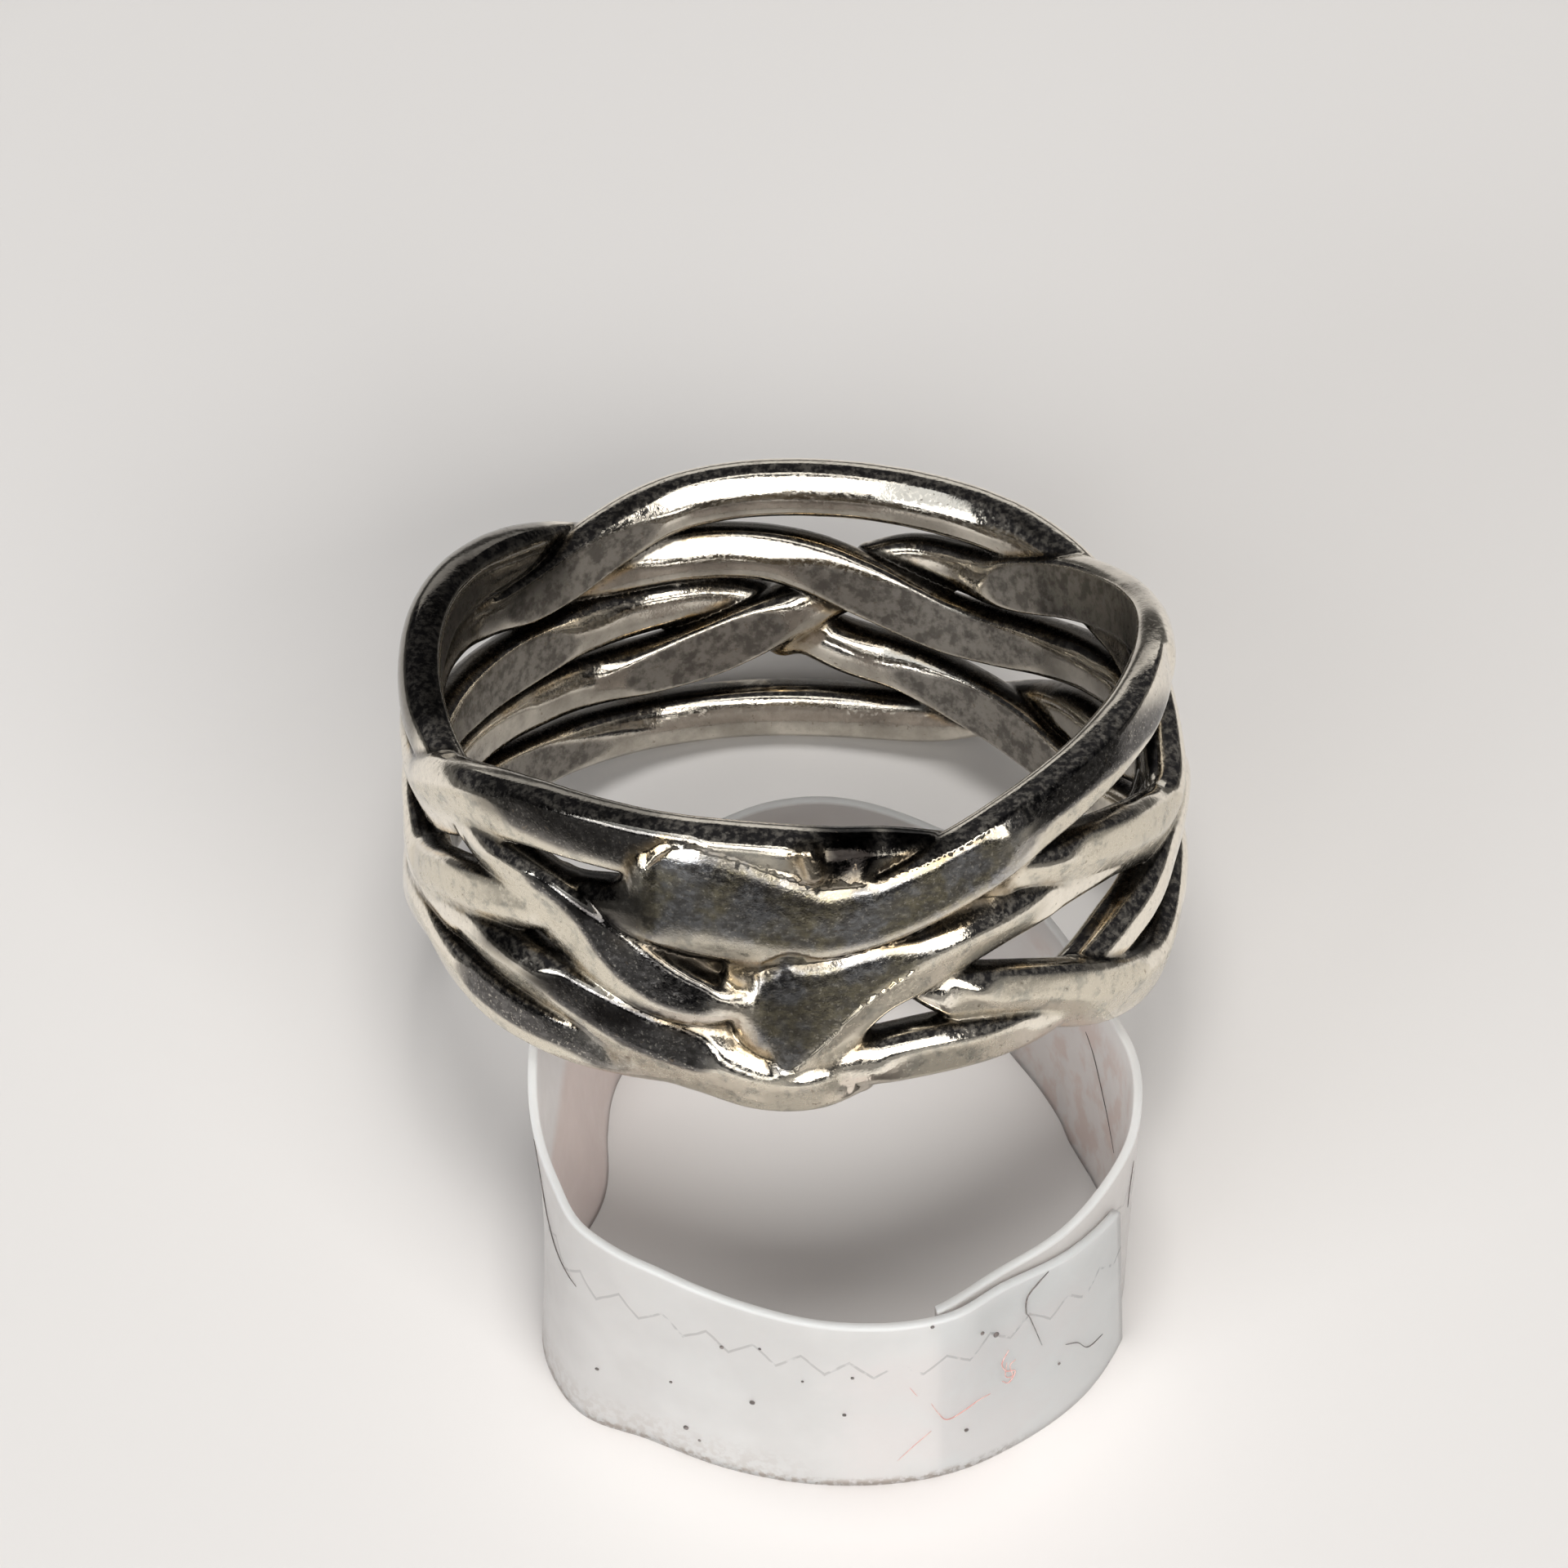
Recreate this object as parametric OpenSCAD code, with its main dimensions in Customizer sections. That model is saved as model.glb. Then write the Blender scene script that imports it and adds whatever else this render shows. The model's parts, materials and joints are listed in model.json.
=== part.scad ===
// A wire wrap ring of soldered silver wires, leaning on a small loop of plastic strip.
// Millimetres, +Z up, the floor at z = 0 and the middle of the pair's outline at the origin.
// Every silver wire follows a table, one row for each place round the band, and the
// finger hole is bored through all of them, which leaves the worn flats inside.

/* [Ring] */
// Diameter of the finger hole
bore_d = 19.0; // [18.8:0.1:19.2]
// Radius at which the middle of the wires runs
band_r = 10.25; // [10.2:0.01:10.3]
// How far the ring leans back, in degrees
lean = 22.5; // [22:0.1:23]
// Height of the ring's middle above the floor
ring_z = 7.71; // [7.71:0.01:7.8]
// Gap left at the seats between the ring and the strip
seat_gap = 0.08; // [0.05:0.01:0.15]
// Middle of the pair's outline to the right of the ring's middle
pair_x = 0.2; // [0.15:0.01:0.25]
// Middle of the pair's outline in front of the ring's middle
pair_y = 3.1; // [3.05:0.01:3.15]

/* [Wire] */
// Sides of a wire's section
wire_sides = 12; // [8:1:14]
// Degrees round the band between two sections of a wire
wire_step = 6; // [5:0.5:8]
// Squareness of a wire's section, 2 is a plain oval
wire_square = 2.4; // [2:0.1:3]

/* [Plastic strip] */
// Thickness of the strip
strip_t = 0.25; // [0.2:0.01:0.3]
// Degrees round the loop between two sections of the strip
strip_step = 5; // [4:1:8]
// Middle of the loop to the right of the ring's middle
loop_x = 1.25; // [1.2:0.05:1.3]
// Middle of the loop in front of the ring's middle
loop_y = -8.48; // [-8.5:0.01:-8.4]

/* [Hidden] */

bore_r = bore_d / 2;
tall = 12;

// Columns of the wire tables. Angles start at the front and grow to the right.
ANGLE = 0;    // degrees round the band
HEIGHT = 1;   // above the middle of the band
OFFSET = 2;   // outward from band_r
WIDE = 3;     // width of the wire, along the band's height
THICK = 4;    // thickness of the wire, outward
FACET = 5;    // depth of the polished facet on the outside
TURN = 6;     // degrees that the facet faces down

// Top rim at the front, down and round a bend at the right, then top rim at the back
CROWN = [
    [ -82, 1.50, -0.24, 1.75, 1.35, 0.10, 20],
    [ -75, 1.50, -0.18, 2.10, 1.35, 0.20, 22],
    [ -68, 1.95, -0.08, 2.30, 1.35, 0.25, 22],
    [ -61, 2.48, -0.01, 2.30, 1.40, 0.28, 22],
    [ -54, 3.00, 0.08, 2.05, 1.45, 0.25, 20],
    [ -46, 3.42, 0.05, 1.85, 1.45, 0.15, 15],
    [ -36, 3.60, 0.00, 1.80, 1.45, 0.10, 10],
    [ -20, 3.65, 0.00, 1.80, 1.45, 0.10, 5],
    [  -6, 3.65, 0.00, 1.80, 1.45, 0.10, 5],
    [   6, 3.52, -0.10, 1.65, 1.40, 0, 0],
    [  16, 3.30, -0.30, 1.50, 1.20, 0, 0],
    [  28, 2.65, -0.30, 1.50, 1.20, 0, 0],
    [  38, 2.15, -0.10, 1.65, 1.35, 0.10, 25],
    [  47, 1.85, 0.08, 1.85, 1.40, 0.22, 28],
    [  56, 1.45, 0.12, 2.00, 1.40, 0.30, 30],
    [  65, 1.00, 0.14, 2.10, 1.40, 0.30, 28],
    [  73, 0.68, 0.18, 2.00, 1.40, 0.25, 22],
    [  80, 0.92, 0.16, 1.80, 1.40, 0.10, 10],
    [  86, 1.65, -0.02, 1.65, 1.35, 0, 0],
    [  93, 2.30, -0.20, 1.60, 1.30, 0, 0],
    [ 101, 2.62, -0.24, 1.55, 1.25, 0, 0],
    [ 110, 2.78, -0.20, 1.55, 1.25, 0, 0],
    [ 118, 2.88, -0.14, 1.58, 1.30, 0, 0],
    [ 126, 3.14, -0.03, 1.62, 1.40, 0, 0],
    [ 134, 3.46, 0.00, 1.65, 1.45, 0, 0],
    [ 144, 3.78, 0.00, 1.65, 1.45, 0, 0],
    [ 160, 3.96, 0.00, 1.65, 1.48, 0, 0],
    [ 180, 4.02, 0.00, 1.65, 1.48, 0, 0],
    [ 192, 3.93, 0.00, 1.65, 1.48, 0, 0],
    [ 202, 3.65, -0.05, 1.65, 1.50, 0, 0],
    [ 212, 3.12, -0.20, 1.70, 1.50, 0, 0],
    [ 220, 2.68, -0.30, 1.75, 1.50, 0, 0],
    [ 228, 2.46, -0.25, 1.70, 1.45, 0, 0],
    [ 237, 2.58, -0.08, 1.60, 1.38, 0, 0],
    [ 248, 2.80, -0.08, 1.60, 1.30, 0, 0],
    [ 260, 2.60, -0.12, 1.60, 1.25, 0, 0],
    [ 270, 1.95, -0.18, 1.60, 1.28, 0, 0],
    [ 278, 1.50, -0.24, 1.75, 1.35, 0.10, 20],
];

// From the lower right pad round the back, along the left, over the front and up the right
SHOULDER = [
    [  17, -1.25, 0.05, 0.60, 0.50, 0, 0],
    [  22, -1.18, 0.05, 1.35, 1.15, 0, 0],
    [  28, -1.22, 0.08, 1.70, 1.40, 0.15, 25],
    [  36, -1.65, 0.10, 1.90, 1.45, 0.25, 25],
    [  44, -2.22, 0.12, 2.00, 1.45, 0.30, 28],
    [  53, -2.88, 0.15, 2.05, 1.45, 0.30, 28],
    [  62, -3.38, 0.18, 2.00, 1.45, 0.30, 25],
    [  70, -3.50, 0.18, 1.90, 1.45, 0.20, 20],
    [  77, -3.10, 0.18, 1.75, 1.40, 0.10, 10],
    [  84, -2.25, 0.18, 1.65, 1.40, 0, 0],
    [  92, -1.95, 0.15, 1.65, 1.42, 0, 0],
    [ 102, -2.45, 0.05, 1.65, 1.42, 0, 0],
    [ 115, -2.90, -0.05, 1.65, 1.45, 0, 0],
    [ 128, -2.72, -0.22, 1.75, 1.50, 0, 0],
    [ 140, -2.20, -0.30, 1.80, 1.50, 0, 0],
    [ 150, -1.80, -0.22, 1.75, 1.50, 0, 0],
    [ 160, -1.40, -0.08, 1.65, 1.45, 0, 0],
    [ 170, -1.10, 0.08, 1.60, 1.40, 0, 0],
    [ 178, -0.60, 0.30, 1.50, 1.25, 0, 0],
    [ 186, 0.15, 0.35, 1.50, 1.20, 0, 0],
    [ 196, 0.60, 0.22, 1.60, 1.35, 0, 0],
    [ 208, 0.60, 0.05, 1.65, 1.42, 0, 0],
    [ 220, 0.58, -0.12, 1.70, 1.50, 0, 0],
    [ 232, 0.55, -0.28, 1.80, 1.50, 0, 0],
    [ 244, 0.50, -0.25, 1.75, 1.50, 0, 0],
    [ 257, 0.45, -0.16, 1.65, 1.40, 0, 0],
    [ 268, 0.05, -0.20, 1.65, 1.35, 0, 0],
    [ 277, -0.65, -0.22, 1.80, 1.35, 0.10, 15],
    [ 285, -1.02, -0.14, 2.00, 1.38, 0.20, 22],
    [ 292, -0.78, -0.04, 2.05, 1.40, 0.28, 25],
    [ 299, -0.30, 0.04, 2.00, 1.40, 0.30, 28],
    [ 307, 0.22, 0.08, 1.80, 1.40, 0.20, 28],
    [ 317, 0.70, -0.05, 1.60, 1.35, 0.10, 25],
    [ 327, 1.30, -0.15, 1.55, 1.30, 0, 0],
    [ 337, 1.65, -0.02, 1.70, 1.40, 0, 0],
    [ 347, 1.66, 0.10, 1.95, 1.45, 0.12, 0],
    [ 358, 1.62, 0.15, 2.05, 1.50, 0.15, 0],
    [ 367, 1.80, 0.15, 2.05, 1.50, 0.15, 2],
    [ 376, 2.30, 0.15, 2.00, 1.50, 0.15, 5],
    [ 386, 2.96, 0.15, 1.95, 1.50, 0.15, 8],
    [ 396, 3.58, 0.15, 1.90, 1.50, 0.15, 10],
    [ 407, 4.15, 0.12, 1.80, 1.50, 0.12, 12],
    [ 420, 4.60, 0.02, 1.70, 1.48, 0.05, 12],
    [ 434, 4.80, -0.16, 1.65, 1.34, 0, 0],
    [ 448, 4.62, -0.34, 1.65, 1.28, 0, 0],
    [ 461, 4.18, -0.38, 1.70, 1.32, 0, 0],
    [ 474, 3.64, -0.34, 1.80, 1.45, 0, 0],
    [ 486, 3.10, -0.32, 1.85, 1.50, 0, 0],
    [ 497, 2.50, -0.28, 1.80, 1.45, 0, 0],
    [ 504, 2.15, -0.10, 1.65, 1.35, 0, 0],
    [ 512, 2.05, 0.18, 1.50, 1.20, 0, 0],
    [ 520, 1.95, 0.35, 1.35, 1.05, 0, 0],
    [ 527, 1.60, 0.40, 1.10, 0.85, 0, 0],
];

// From behind the middle of the back, along the left to the point at the front
SASH = [
    [ 162, 1.35, 0.42, 1.20, 0.90, 0, 0],
    [ 170, 0.80, 0.32, 1.45, 1.15, 0, 0],
    [ 178, 0.22, 0.05, 1.60, 1.40, 0, 0],
    [ 186, -0.35, -0.22, 1.75, 1.50, 0, 0],
    [ 194, -0.85, -0.30, 1.80, 1.50, 0, 0],
    [ 203, -1.18, -0.20, 1.70, 1.50, 0, 0],
    [ 213, -1.28, 0.00, 1.65, 1.45, 0, 0],
    [ 228, -1.20, 0.02, 1.65, 1.42, 0, 0],
    [ 244, -1.12, -0.05, 1.65, 1.40, 0, 0],
    [ 262, -1.10, -0.15, 1.65, 1.35, 0, 0],
    [ 280, -1.35, -0.25, 1.60, 1.25, 0, 0],
    [ 293, -1.10, -0.25, 1.60, 1.25, 0, 0],
    [ 304, -0.88, -0.15, 1.65, 1.35, 0.05, 25],
    [ 313, -1.05, 0.00, 1.70, 1.42, 0.12, 25],
    [ 321, -1.42, 0.05, 1.75, 1.45, 0.15, 25],
    [ 329, -1.84, 0.08, 1.80, 1.48, 0.18, 25],
    [ 338, -2.26, 0.10, 1.85, 1.50, 0.18, 25],
    [ 348, -2.64, 0.12, 1.90, 1.50, 0.18, 25],
    [ 356, -3.00, 0.15, 1.95, 1.50, 0.18, 25],
    [ 363, -3.08, 0.12, 1.85, 1.45, 0.15, 25],
    [ 370, -2.95, 0.00, 1.30, 1.15, 0, 0],
];

// From the point at the front up to the right, then the wire of the back with the long flat
FOOT = [
    [  -6, -3.25, 0.05, 1.10, 1.10, 0, 0],
    [  -1, -2.90, 0.12, 1.70, 1.45, 0.12, 25],
    [   3, -1.98, 0.12, 1.95, 1.45, 0.18, 25],
    [   7, -1.02, 0.12, 2.00, 1.45, 0.22, 25],
    [  12, -0.24, 0.12, 1.95, 1.45, 0.22, 25],
    [  19, 0.28, 0.10, 1.90, 1.45, 0.18, 25],
    [  27, 0.68, 0.02, 1.80, 1.42, 0.15, 25],
    [  36, 0.92, -0.12, 1.65, 1.35, 0.10, 25],
    [  46, 1.02, -0.28, 1.50, 1.20, 0, 0],
    [  57, 0.90, -0.32, 1.50, 1.15, 0, 0],
    [  70, 0.60, -0.28, 1.55, 1.15, 0, 0],
    [  84, 0.55, -0.18, 1.60, 1.30, 0, 0],
    [  98, 0.80, -0.02, 1.65, 1.40, 0, 0],
    [ 110, 0.95, 0.02, 1.65, 1.42, 0, 0],
    [ 122, 0.82, 0.02, 1.65, 1.42, 0, 0],
    [ 133, 0.58, -0.08, 1.70, 1.45, 0, 0],
    [ 143, 0.36, -0.18, 1.75, 1.50, 0, 0],
    [ 152, 0.38, -0.28, 1.80, 1.50, 0, 0],
    [ 160, 0.72, -0.32, 1.85, 1.50, 0, 0],
    [ 168, 1.18, -0.30, 1.85, 1.50, 0, 0],
    [ 176, 1.68, -0.20, 1.75, 1.50, 0, 0],
    [ 185, 1.98, -0.02, 1.65, 1.48, 0, 0],
    [ 196, 2.10, 0.05, 1.65, 1.45, 0, 0],
    [ 207, 2.00, 0.15, 1.60, 1.40, 0, 0],
    [ 217, 1.75, 0.30, 1.45, 1.15, 0, 0],
    [ 226, 1.45, 0.35, 1.15, 0.85, 0, 0],
];

// Lowest wire, all the way round
BASE = [
    [ -71, -2.15, -0.18, 1.65, 1.42, 0.10, 20],
    [ -61, -2.32, -0.08, 1.70, 1.42, 0.12, 20],
    [ -49, -2.62, 0.02, 1.70, 1.42, 0.12, 20],
    [ -36, -2.80, 0.00, 1.60, 1.42, 0.10, 20],
    [ -24, -2.84, -0.10, 1.50, 1.30, 0, 0],
    [ -12, -2.84, -0.20, 1.40, 1.20, 0, 0],
    [   0, -2.78, -0.15, 1.40, 1.30, 0, 0],
    [  10, -2.60, 0.02, 1.50, 1.42, 0, 0],
    [  20, -2.50, 0.05, 1.65, 1.42, 0.10, 15],
    [  31, -2.55, 0.00, 1.60, 1.42, 0.08, 15],
    [  42, -2.60, -0.15, 1.50, 1.30, 0, 0],
    [  51, -2.25, -0.22, 1.50, 1.20, 0, 0],
    [  60, -1.70, -0.15, 1.55, 1.30, 0, 0],
    [  68, -1.15, 0.00, 1.60, 1.40, 0, 0],
    [  76, -0.45, 0.05, 1.65, 1.42, 0, 0],
    [  84, 0.10, 0.14, 1.65, 1.40, 0, 0],
    [  92, 0.10, 0.22, 1.65, 1.38, 0, 0],
    [ 104, -0.65, 0.22, 1.65, 1.38, 0, 0],
    [ 116, -1.15, 0.05, 1.65, 1.42, 0, 0],
    [ 127, -1.25, 0.18, 1.60, 1.40, 0, 0],
    [ 136, -1.70, 0.38, 1.50, 1.20, 0, 0],
    [ 146, -2.45, 0.38, 1.50, 1.20, 0, 0],
    [ 156, -3.02, 0.15, 1.60, 1.35, 0, 0],
    [ 168, -3.18, 0.02, 1.65, 1.42, 0, 0],
    [ 186, -3.20, 0.02, 1.65, 1.42, 0, 0],
    [ 206, -3.18, 0.00, 1.65, 1.42, 0, 0],
    [ 220, -3.10, -0.12, 1.65, 1.48, 0, 0],
    [ 230, -3.00, -0.25, 1.70, 1.50, 0, 0],
    [ 242, -2.78, -0.20, 1.70, 1.50, 0, 0],
    [ 256, -2.68, -0.12, 1.65, 1.42, 0, 0],
    [ 272, -2.62, -0.20, 1.65, 1.40, 0, 0],
    [ 289, -2.15, -0.18, 1.65, 1.42, 0.10, 20],
];

// Left rim, from outside the crown down to the rounded tip at the front
RIM = [
    [ 212, 2.95, 0.38, 0.95, 0.75, 0, 0],
    [ 219, 3.18, 0.35, 1.40, 1.10, 0, 0],
    [ 230, 3.65, 0.10, 1.65, 1.38, 0, 0],
    [ 243, 3.98, -0.08, 1.65, 1.38, 0, 0],
    [ 256, 3.96, -0.15, 1.65, 1.36, 0, 0],
    [ 268, 3.65, -0.20, 1.65, 1.34, 0, 0],
    [ 280, 3.20, -0.24, 1.60, 1.30, 0, 0],
    [ 291, 2.75, -0.30, 1.50, 1.15, 0, 0],
    [ 301, 2.30, -0.30, 1.50, 1.15, 0, 0],
    [ 309, 1.92, -0.10, 1.65, 1.35, 0.10, 28],
    [ 316, 1.50, 0.10, 1.90, 1.42, 0.22, 30],
    [ 323, 0.98, 0.15, 2.10, 1.45, 0.32, 30],
    [ 330, 0.50, 0.18, 2.15, 1.45, 0.35, 30],
    [ 338, -0.02, 0.18, 2.05, 1.45, 0.30, 28],
    [ 345, -0.36, 0.18, 1.85, 1.42, 0.20, 25],
    [ 350, -0.50, 0.15, 1.45, 1.20, 0.10, 20],
    [ 353.5, -0.55, 0.12, 0.70, 0.65, 0, 0],
];

// Solder run into the gaps between wires, each a rounded seam from one place to another.
// Columns: first angle, first height, last angle, last height, radius, offset from band_r
SOLDER = [
    [ -18, 2.72,   0, 2.62, 0.52, 0.08],
    [  -2, 2.90,   9, 2.90, 0.60, 0.05],
    [ -24, 0.95,  -2, 0.70, 0.50, -0.05],
    [  -6, 0.30,   4, 0.25, 0.66, 0.00],
    [  -6, -0.55,  2, -0.80, 0.66, 0.00],
    [  -5, -1.50,  0, -2.20, 0.62, 0.02],
    [   4, 0.70,  16, 1.28, 0.48, -0.05],
    [  16, 1.28,  32, 1.90, 0.45, -0.12],
    [ -16, -1.30, -5, -1.60, 0.48, -0.02],
    [ -24, -2.60, -8, -3.05, 0.50, -0.05],
    [   4, -2.40, 10, -2.20, 0.55, 0.00],
    [ 176, -0.45, 181, -1.00, 0.50, 0.15],
    [ 211, 2.75, 218, 2.40, 0.52, 0.18],
    [ 169, 1.15, 174, 0.85, 0.50, 0.22],
];

// Columns of the strip's table. The angle starts at the front of the loop.
FOOT_R = 1;   // radius of the loop where it stands on the floor
EDGE_R = 2;   // radius of the loop at its upper edge
EDGE_Z = 3;   // height of the upper edge
LAYER = 4;    // 0 for the first turn of the strip, 1 where it laps over itself

STRIP = [
    [  20, 9.18, 8.72, 7.00, 0],
    [  31, 9.12, 8.35, 7.00, 0],
    [  46, 9.03, 8.42, 7.00, 0],
    [  58, 8.80, 8.42, 7.00, 0],
    [  70, 8.40, 8.42, 6.95, 0],
    [  82, 7.95, 8.25, 6.75, 0],
    [  94, 7.36, 8.10, 6.15, 0],
    [ 104, 7.00, 7.98, 5.58, 0],
    [ 112, 6.98, 7.92, 5.42, 0],
    [ 121, 6.98, 7.90, 5.52, 0],
    [ 131, 7.05, 7.90, 5.90, 0],
    [ 141, 7.32, 7.95, 6.40, 0],
    [ 151, 7.70, 8.00, 6.80, 0],
    [ 162, 8.00, 8.10, 7.00, 0],
    [ 180, 8.30, 8.57, 7.00, 0],
    [ 192, 8.25, 8.58, 7.00, 0],
    [ 204, 8.00, 8.33, 7.00, 0],
    [ 220, 7.60, 8.10, 7.00, 0],
    [ 237, 7.30, 8.05, 6.95, 0],
    [ 252, 6.75, 8.10, 7.02, 0],
    [ 264, 6.42, 8.12, 7.08, 0],
    [ 275, 6.65, 8.18, 7.08, 0],
    [ 288, 7.80, 8.38, 7.00, 0],
    [ 300, 9.10, 8.60, 7.00, 0],
    [ 309, 9.65, 8.84, 7.00, 0],
    [ 317, 9.80, 8.74, 7.00, 0],
    [ 328, 9.32, 8.52, 7.00, 0],
    [ 343, 9.20, 8.50, 7.00, 0.2],
    [ 360, 9.10, 8.60, 7.00, 0.8],
    [ 379, 9.18, 8.72, 6.95, 1],
    [ 391, 9.12, 8.38, 6.80, 1],
    [ 406, 9.05, 8.46, 6.40, 1],
    [ 419, 8.80, 8.46, 5.95, 1],
];

function last(rows) = len(rows) - 1;

// Row that starts the span in which an angle lies
function span_at(rows, a, i = 0) =
    i >= last(rows) - 1 || a < rows[i + 1][ANGLE] ? i : span_at(rows, a, i + 1);

// Slope of a column at a row, from the rows on either side of it
function slope(rows, i, col, closed) =
    let(
        at_end = i == last(rows),
        before = i > 0 ? rows[i - 1] : closed ? rows[last(rows) - 1] : rows[0],
        after = !at_end ? rows[i + 1] : closed ? rows[1] : rows[i],
        run_before = i > 0 ? rows[i][ANGLE] - before[ANGLE]
            : closed ? rows[last(rows)][ANGLE] - before[ANGLE] : 0,
        run_after = !at_end ? after[ANGLE] - rows[i][ANGLE]
            : closed ? after[ANGLE] - rows[0][ANGLE] : 0
    )
    (after[col] - before[col]) / (run_before + run_after);

// Smooth value of a column at an angle
function value(rows, a, col, closed = false) =
    let(
        i = span_at(rows, a),
        run = rows[i + 1][ANGLE] - rows[i][ANGLE],
        s = (a - rows[i][ANGLE]) / run,
        m0 = slope(rows, i, col, closed) * run,
        m1 = slope(rows, i + 1, col, closed) * run
    )
    (2 * s * s * s - 3 * s * s + 1) * rows[i][col]
    + (s * s * s - 2 * s * s + s) * m0
    + (3 * s * s - 2 * s * s * s) * rows[i + 1][col]
    + (s * s * s - s * s) * m1;

function outward(a) = [sin(a), -cos(a), 0];
function unit(v) = v / norm(v);

// Middle of a wire at an angle
function wire_mid(rows, a, closed) =
    (band_r + value(rows, a, OFFSET, closed)) * outward(a)
    + [0, 0, value(rows, a, HEIGHT, closed)];

// One section of a wire: an oval set across its run, cut by its facet
function wire_section(rows, a, closed) =
    let(
        start = rows[0][ANGLE],
        end = rows[last(rows)][ANGLE],
        mid = wire_mid(rows, a, closed),
        a0 = closed ? a : max(a - 1, start),
        a1 = closed ? a : min(a + 1, end),
        run = closed
            ? wire_mid(rows, wrap(rows, a + 1), closed) - wire_mid(rows, wrap(rows, a - 1), closed)
            : wire_mid(rows, a1, closed) - wire_mid(rows, a0, closed),
        along = unit(run),
        out = unit(outward(a) - (outward(a) * along) * along),
        up = cross(out, along),
        wide = value(rows, a, WIDE, closed),
        thick = value(rows, a, THICK, closed),
        facet = max(0, value(rows, a, FACET, closed)),
        turn = value(rows, a, TURN, closed),
        reach = norm([cos(turn) * thick, sin(turn) * wide]) / 2 - facet
    )
    [for (j = [0 : wire_sides - 1])
        let(
            t = 360 * (j + 0.5) / wire_sides,
            full = pow(pow(abs(cos(t)), wire_square) + pow(abs(sin(t)), wire_square), -1 / wire_square),
            o = cos(t) * full * thick / 2,
            u = sin(t) * full * wide / 2,
            over = facet > 0.01 ? max(0, o * cos(turn) - u * sin(turn) - reach) : 0
        )
        mid + (o - over * cos(turn)) * out + (u + over * sin(turn)) * up];

// Angle brought back into a closed wire's own turn
function wrap(rows, a) =
    a < rows[0][ANGLE] ? a + 360 : a > rows[last(rows)][ANGLE] ? a - 360 : a;

// Triangles between rings of points, with end caps or joined end to end
function sleeve(rings, sides, closed) =
    [for (i = [0 : closed ? rings - 1 : rings - 2], j = [0 : sides - 1], half = [0, 1])
        let(
            a = i * sides + j,
            b = i * sides + (j + 1) % sides,
            c = ((i + 1) % rings) * sides + (j + 1) % sides,
            d = ((i + 1) % rings) * sides + j
        )
        half == 0 ? [a, b, c] : [a, c, d]];

module wire(rows, closed = false) {
    start = rows[0][ANGLE];
    end = rows[last(rows)][ANGLE];
    spans = ceil((end - start) / wire_step);
    rings = closed ? spans : spans + 1;
    points = [for (i = [0 : rings - 1])
        each wire_section(rows, start + (end - start) * i / spans, closed)];
    near_cap = [[for (j = [wire_sides - 1 : -1 : 0]) j]];
    far_cap = [[for (j = [0 : wire_sides - 1]) (rings - 1) * wire_sides + j]];
    caps = closed ? [] : concat(near_cap, far_cap);
    polyhedron(points, concat(sleeve(rings, wire_sides, closed), caps), convexity = 6);
}

// A rounded seam of solder between two places on the band
module solder_seam(seam) {
    reach = band_r + seam[5];
    hull() {
        translate(reach * outward(seam[0]) + [0, 0, seam[1]])
        sphere(r = seam[4], $fn = 10);
        translate(reach * outward(seam[2]) + [0, 0, seam[3]])
        sphere(r = seam[4], $fn = 10);
    }
}

// The band in its own frame, its axis upright and its middle at the origin
module upright_band() {
    difference() {
        union() {
            wire(CROWN, true);
            wire(SHOULDER);
            wire(SASH);
            wire(FOOT);
            wire(BASE, true);
            wire(RIM);
            for (seam = SOLDER)
                solder_seam(seam);
        }
        cylinder(h = tall, r = bore_r, center = true, $fn = 120);
    }
}

module wrap_band() {
    color("silver")
    translate([-pair_x, pair_y, ring_z])
    rotate([-lean, 0, 0])
    upright_band();
}

// One section of the strip: foot and upper edge, inside and outside
function strip_section(a) =
    let(
        lap = value(STRIP, a, LAYER) * (strip_t + 0.05),
        foot = value(STRIP, a, FOOT_R) + lap,
        edge = value(STRIP, a, EDGE_R) + lap,
        z = value(STRIP, a, EDGE_Z) - seat_gap,
        mid = [loop_x - pair_x, loop_y + pair_y, 0]
    )
    [mid + (foot - strip_t / 2) * outward(a),
     mid + (foot + strip_t / 2) * outward(a),
     mid + (edge + strip_t / 2) * outward(a) + [0, 0, z],
     mid + (edge - strip_t / 2) * outward(a) + [0, 0, z]];

module strip_stand() {
    start = STRIP[0][ANGLE];
    end = STRIP[last(STRIP)][ANGLE];
    spans = ceil((end - start) / strip_step);
    points = [for (i = [0 : spans])
        each strip_section(start + (end - start) * i / spans)];
    caps = [[3, 2, 1, 0], [for (j = [0 : 3]) spans * 4 + j]];
    color([0.93, 0.91, 0.92, 0.8])
    polyhedron(points, concat(sleeve(spans + 1, 4, false), caps), convexity = 6);
}

wrap_band();
strip_stand();
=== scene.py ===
"""A wire wrap ring of soldered silver wires, leaning on a loop of clear plastic strip.

The wires follow the part's source, in millimetres in the ring's own frame, with a wider leaf and sash and
flatter facets on the foot at the left front. They are fused into one surface by a distance field, so that
solder fillets, worn flats and facets are real shape.
"""

import json
import math

import bpy
import numpy as np
from mathutils import Matrix, Vector


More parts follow.
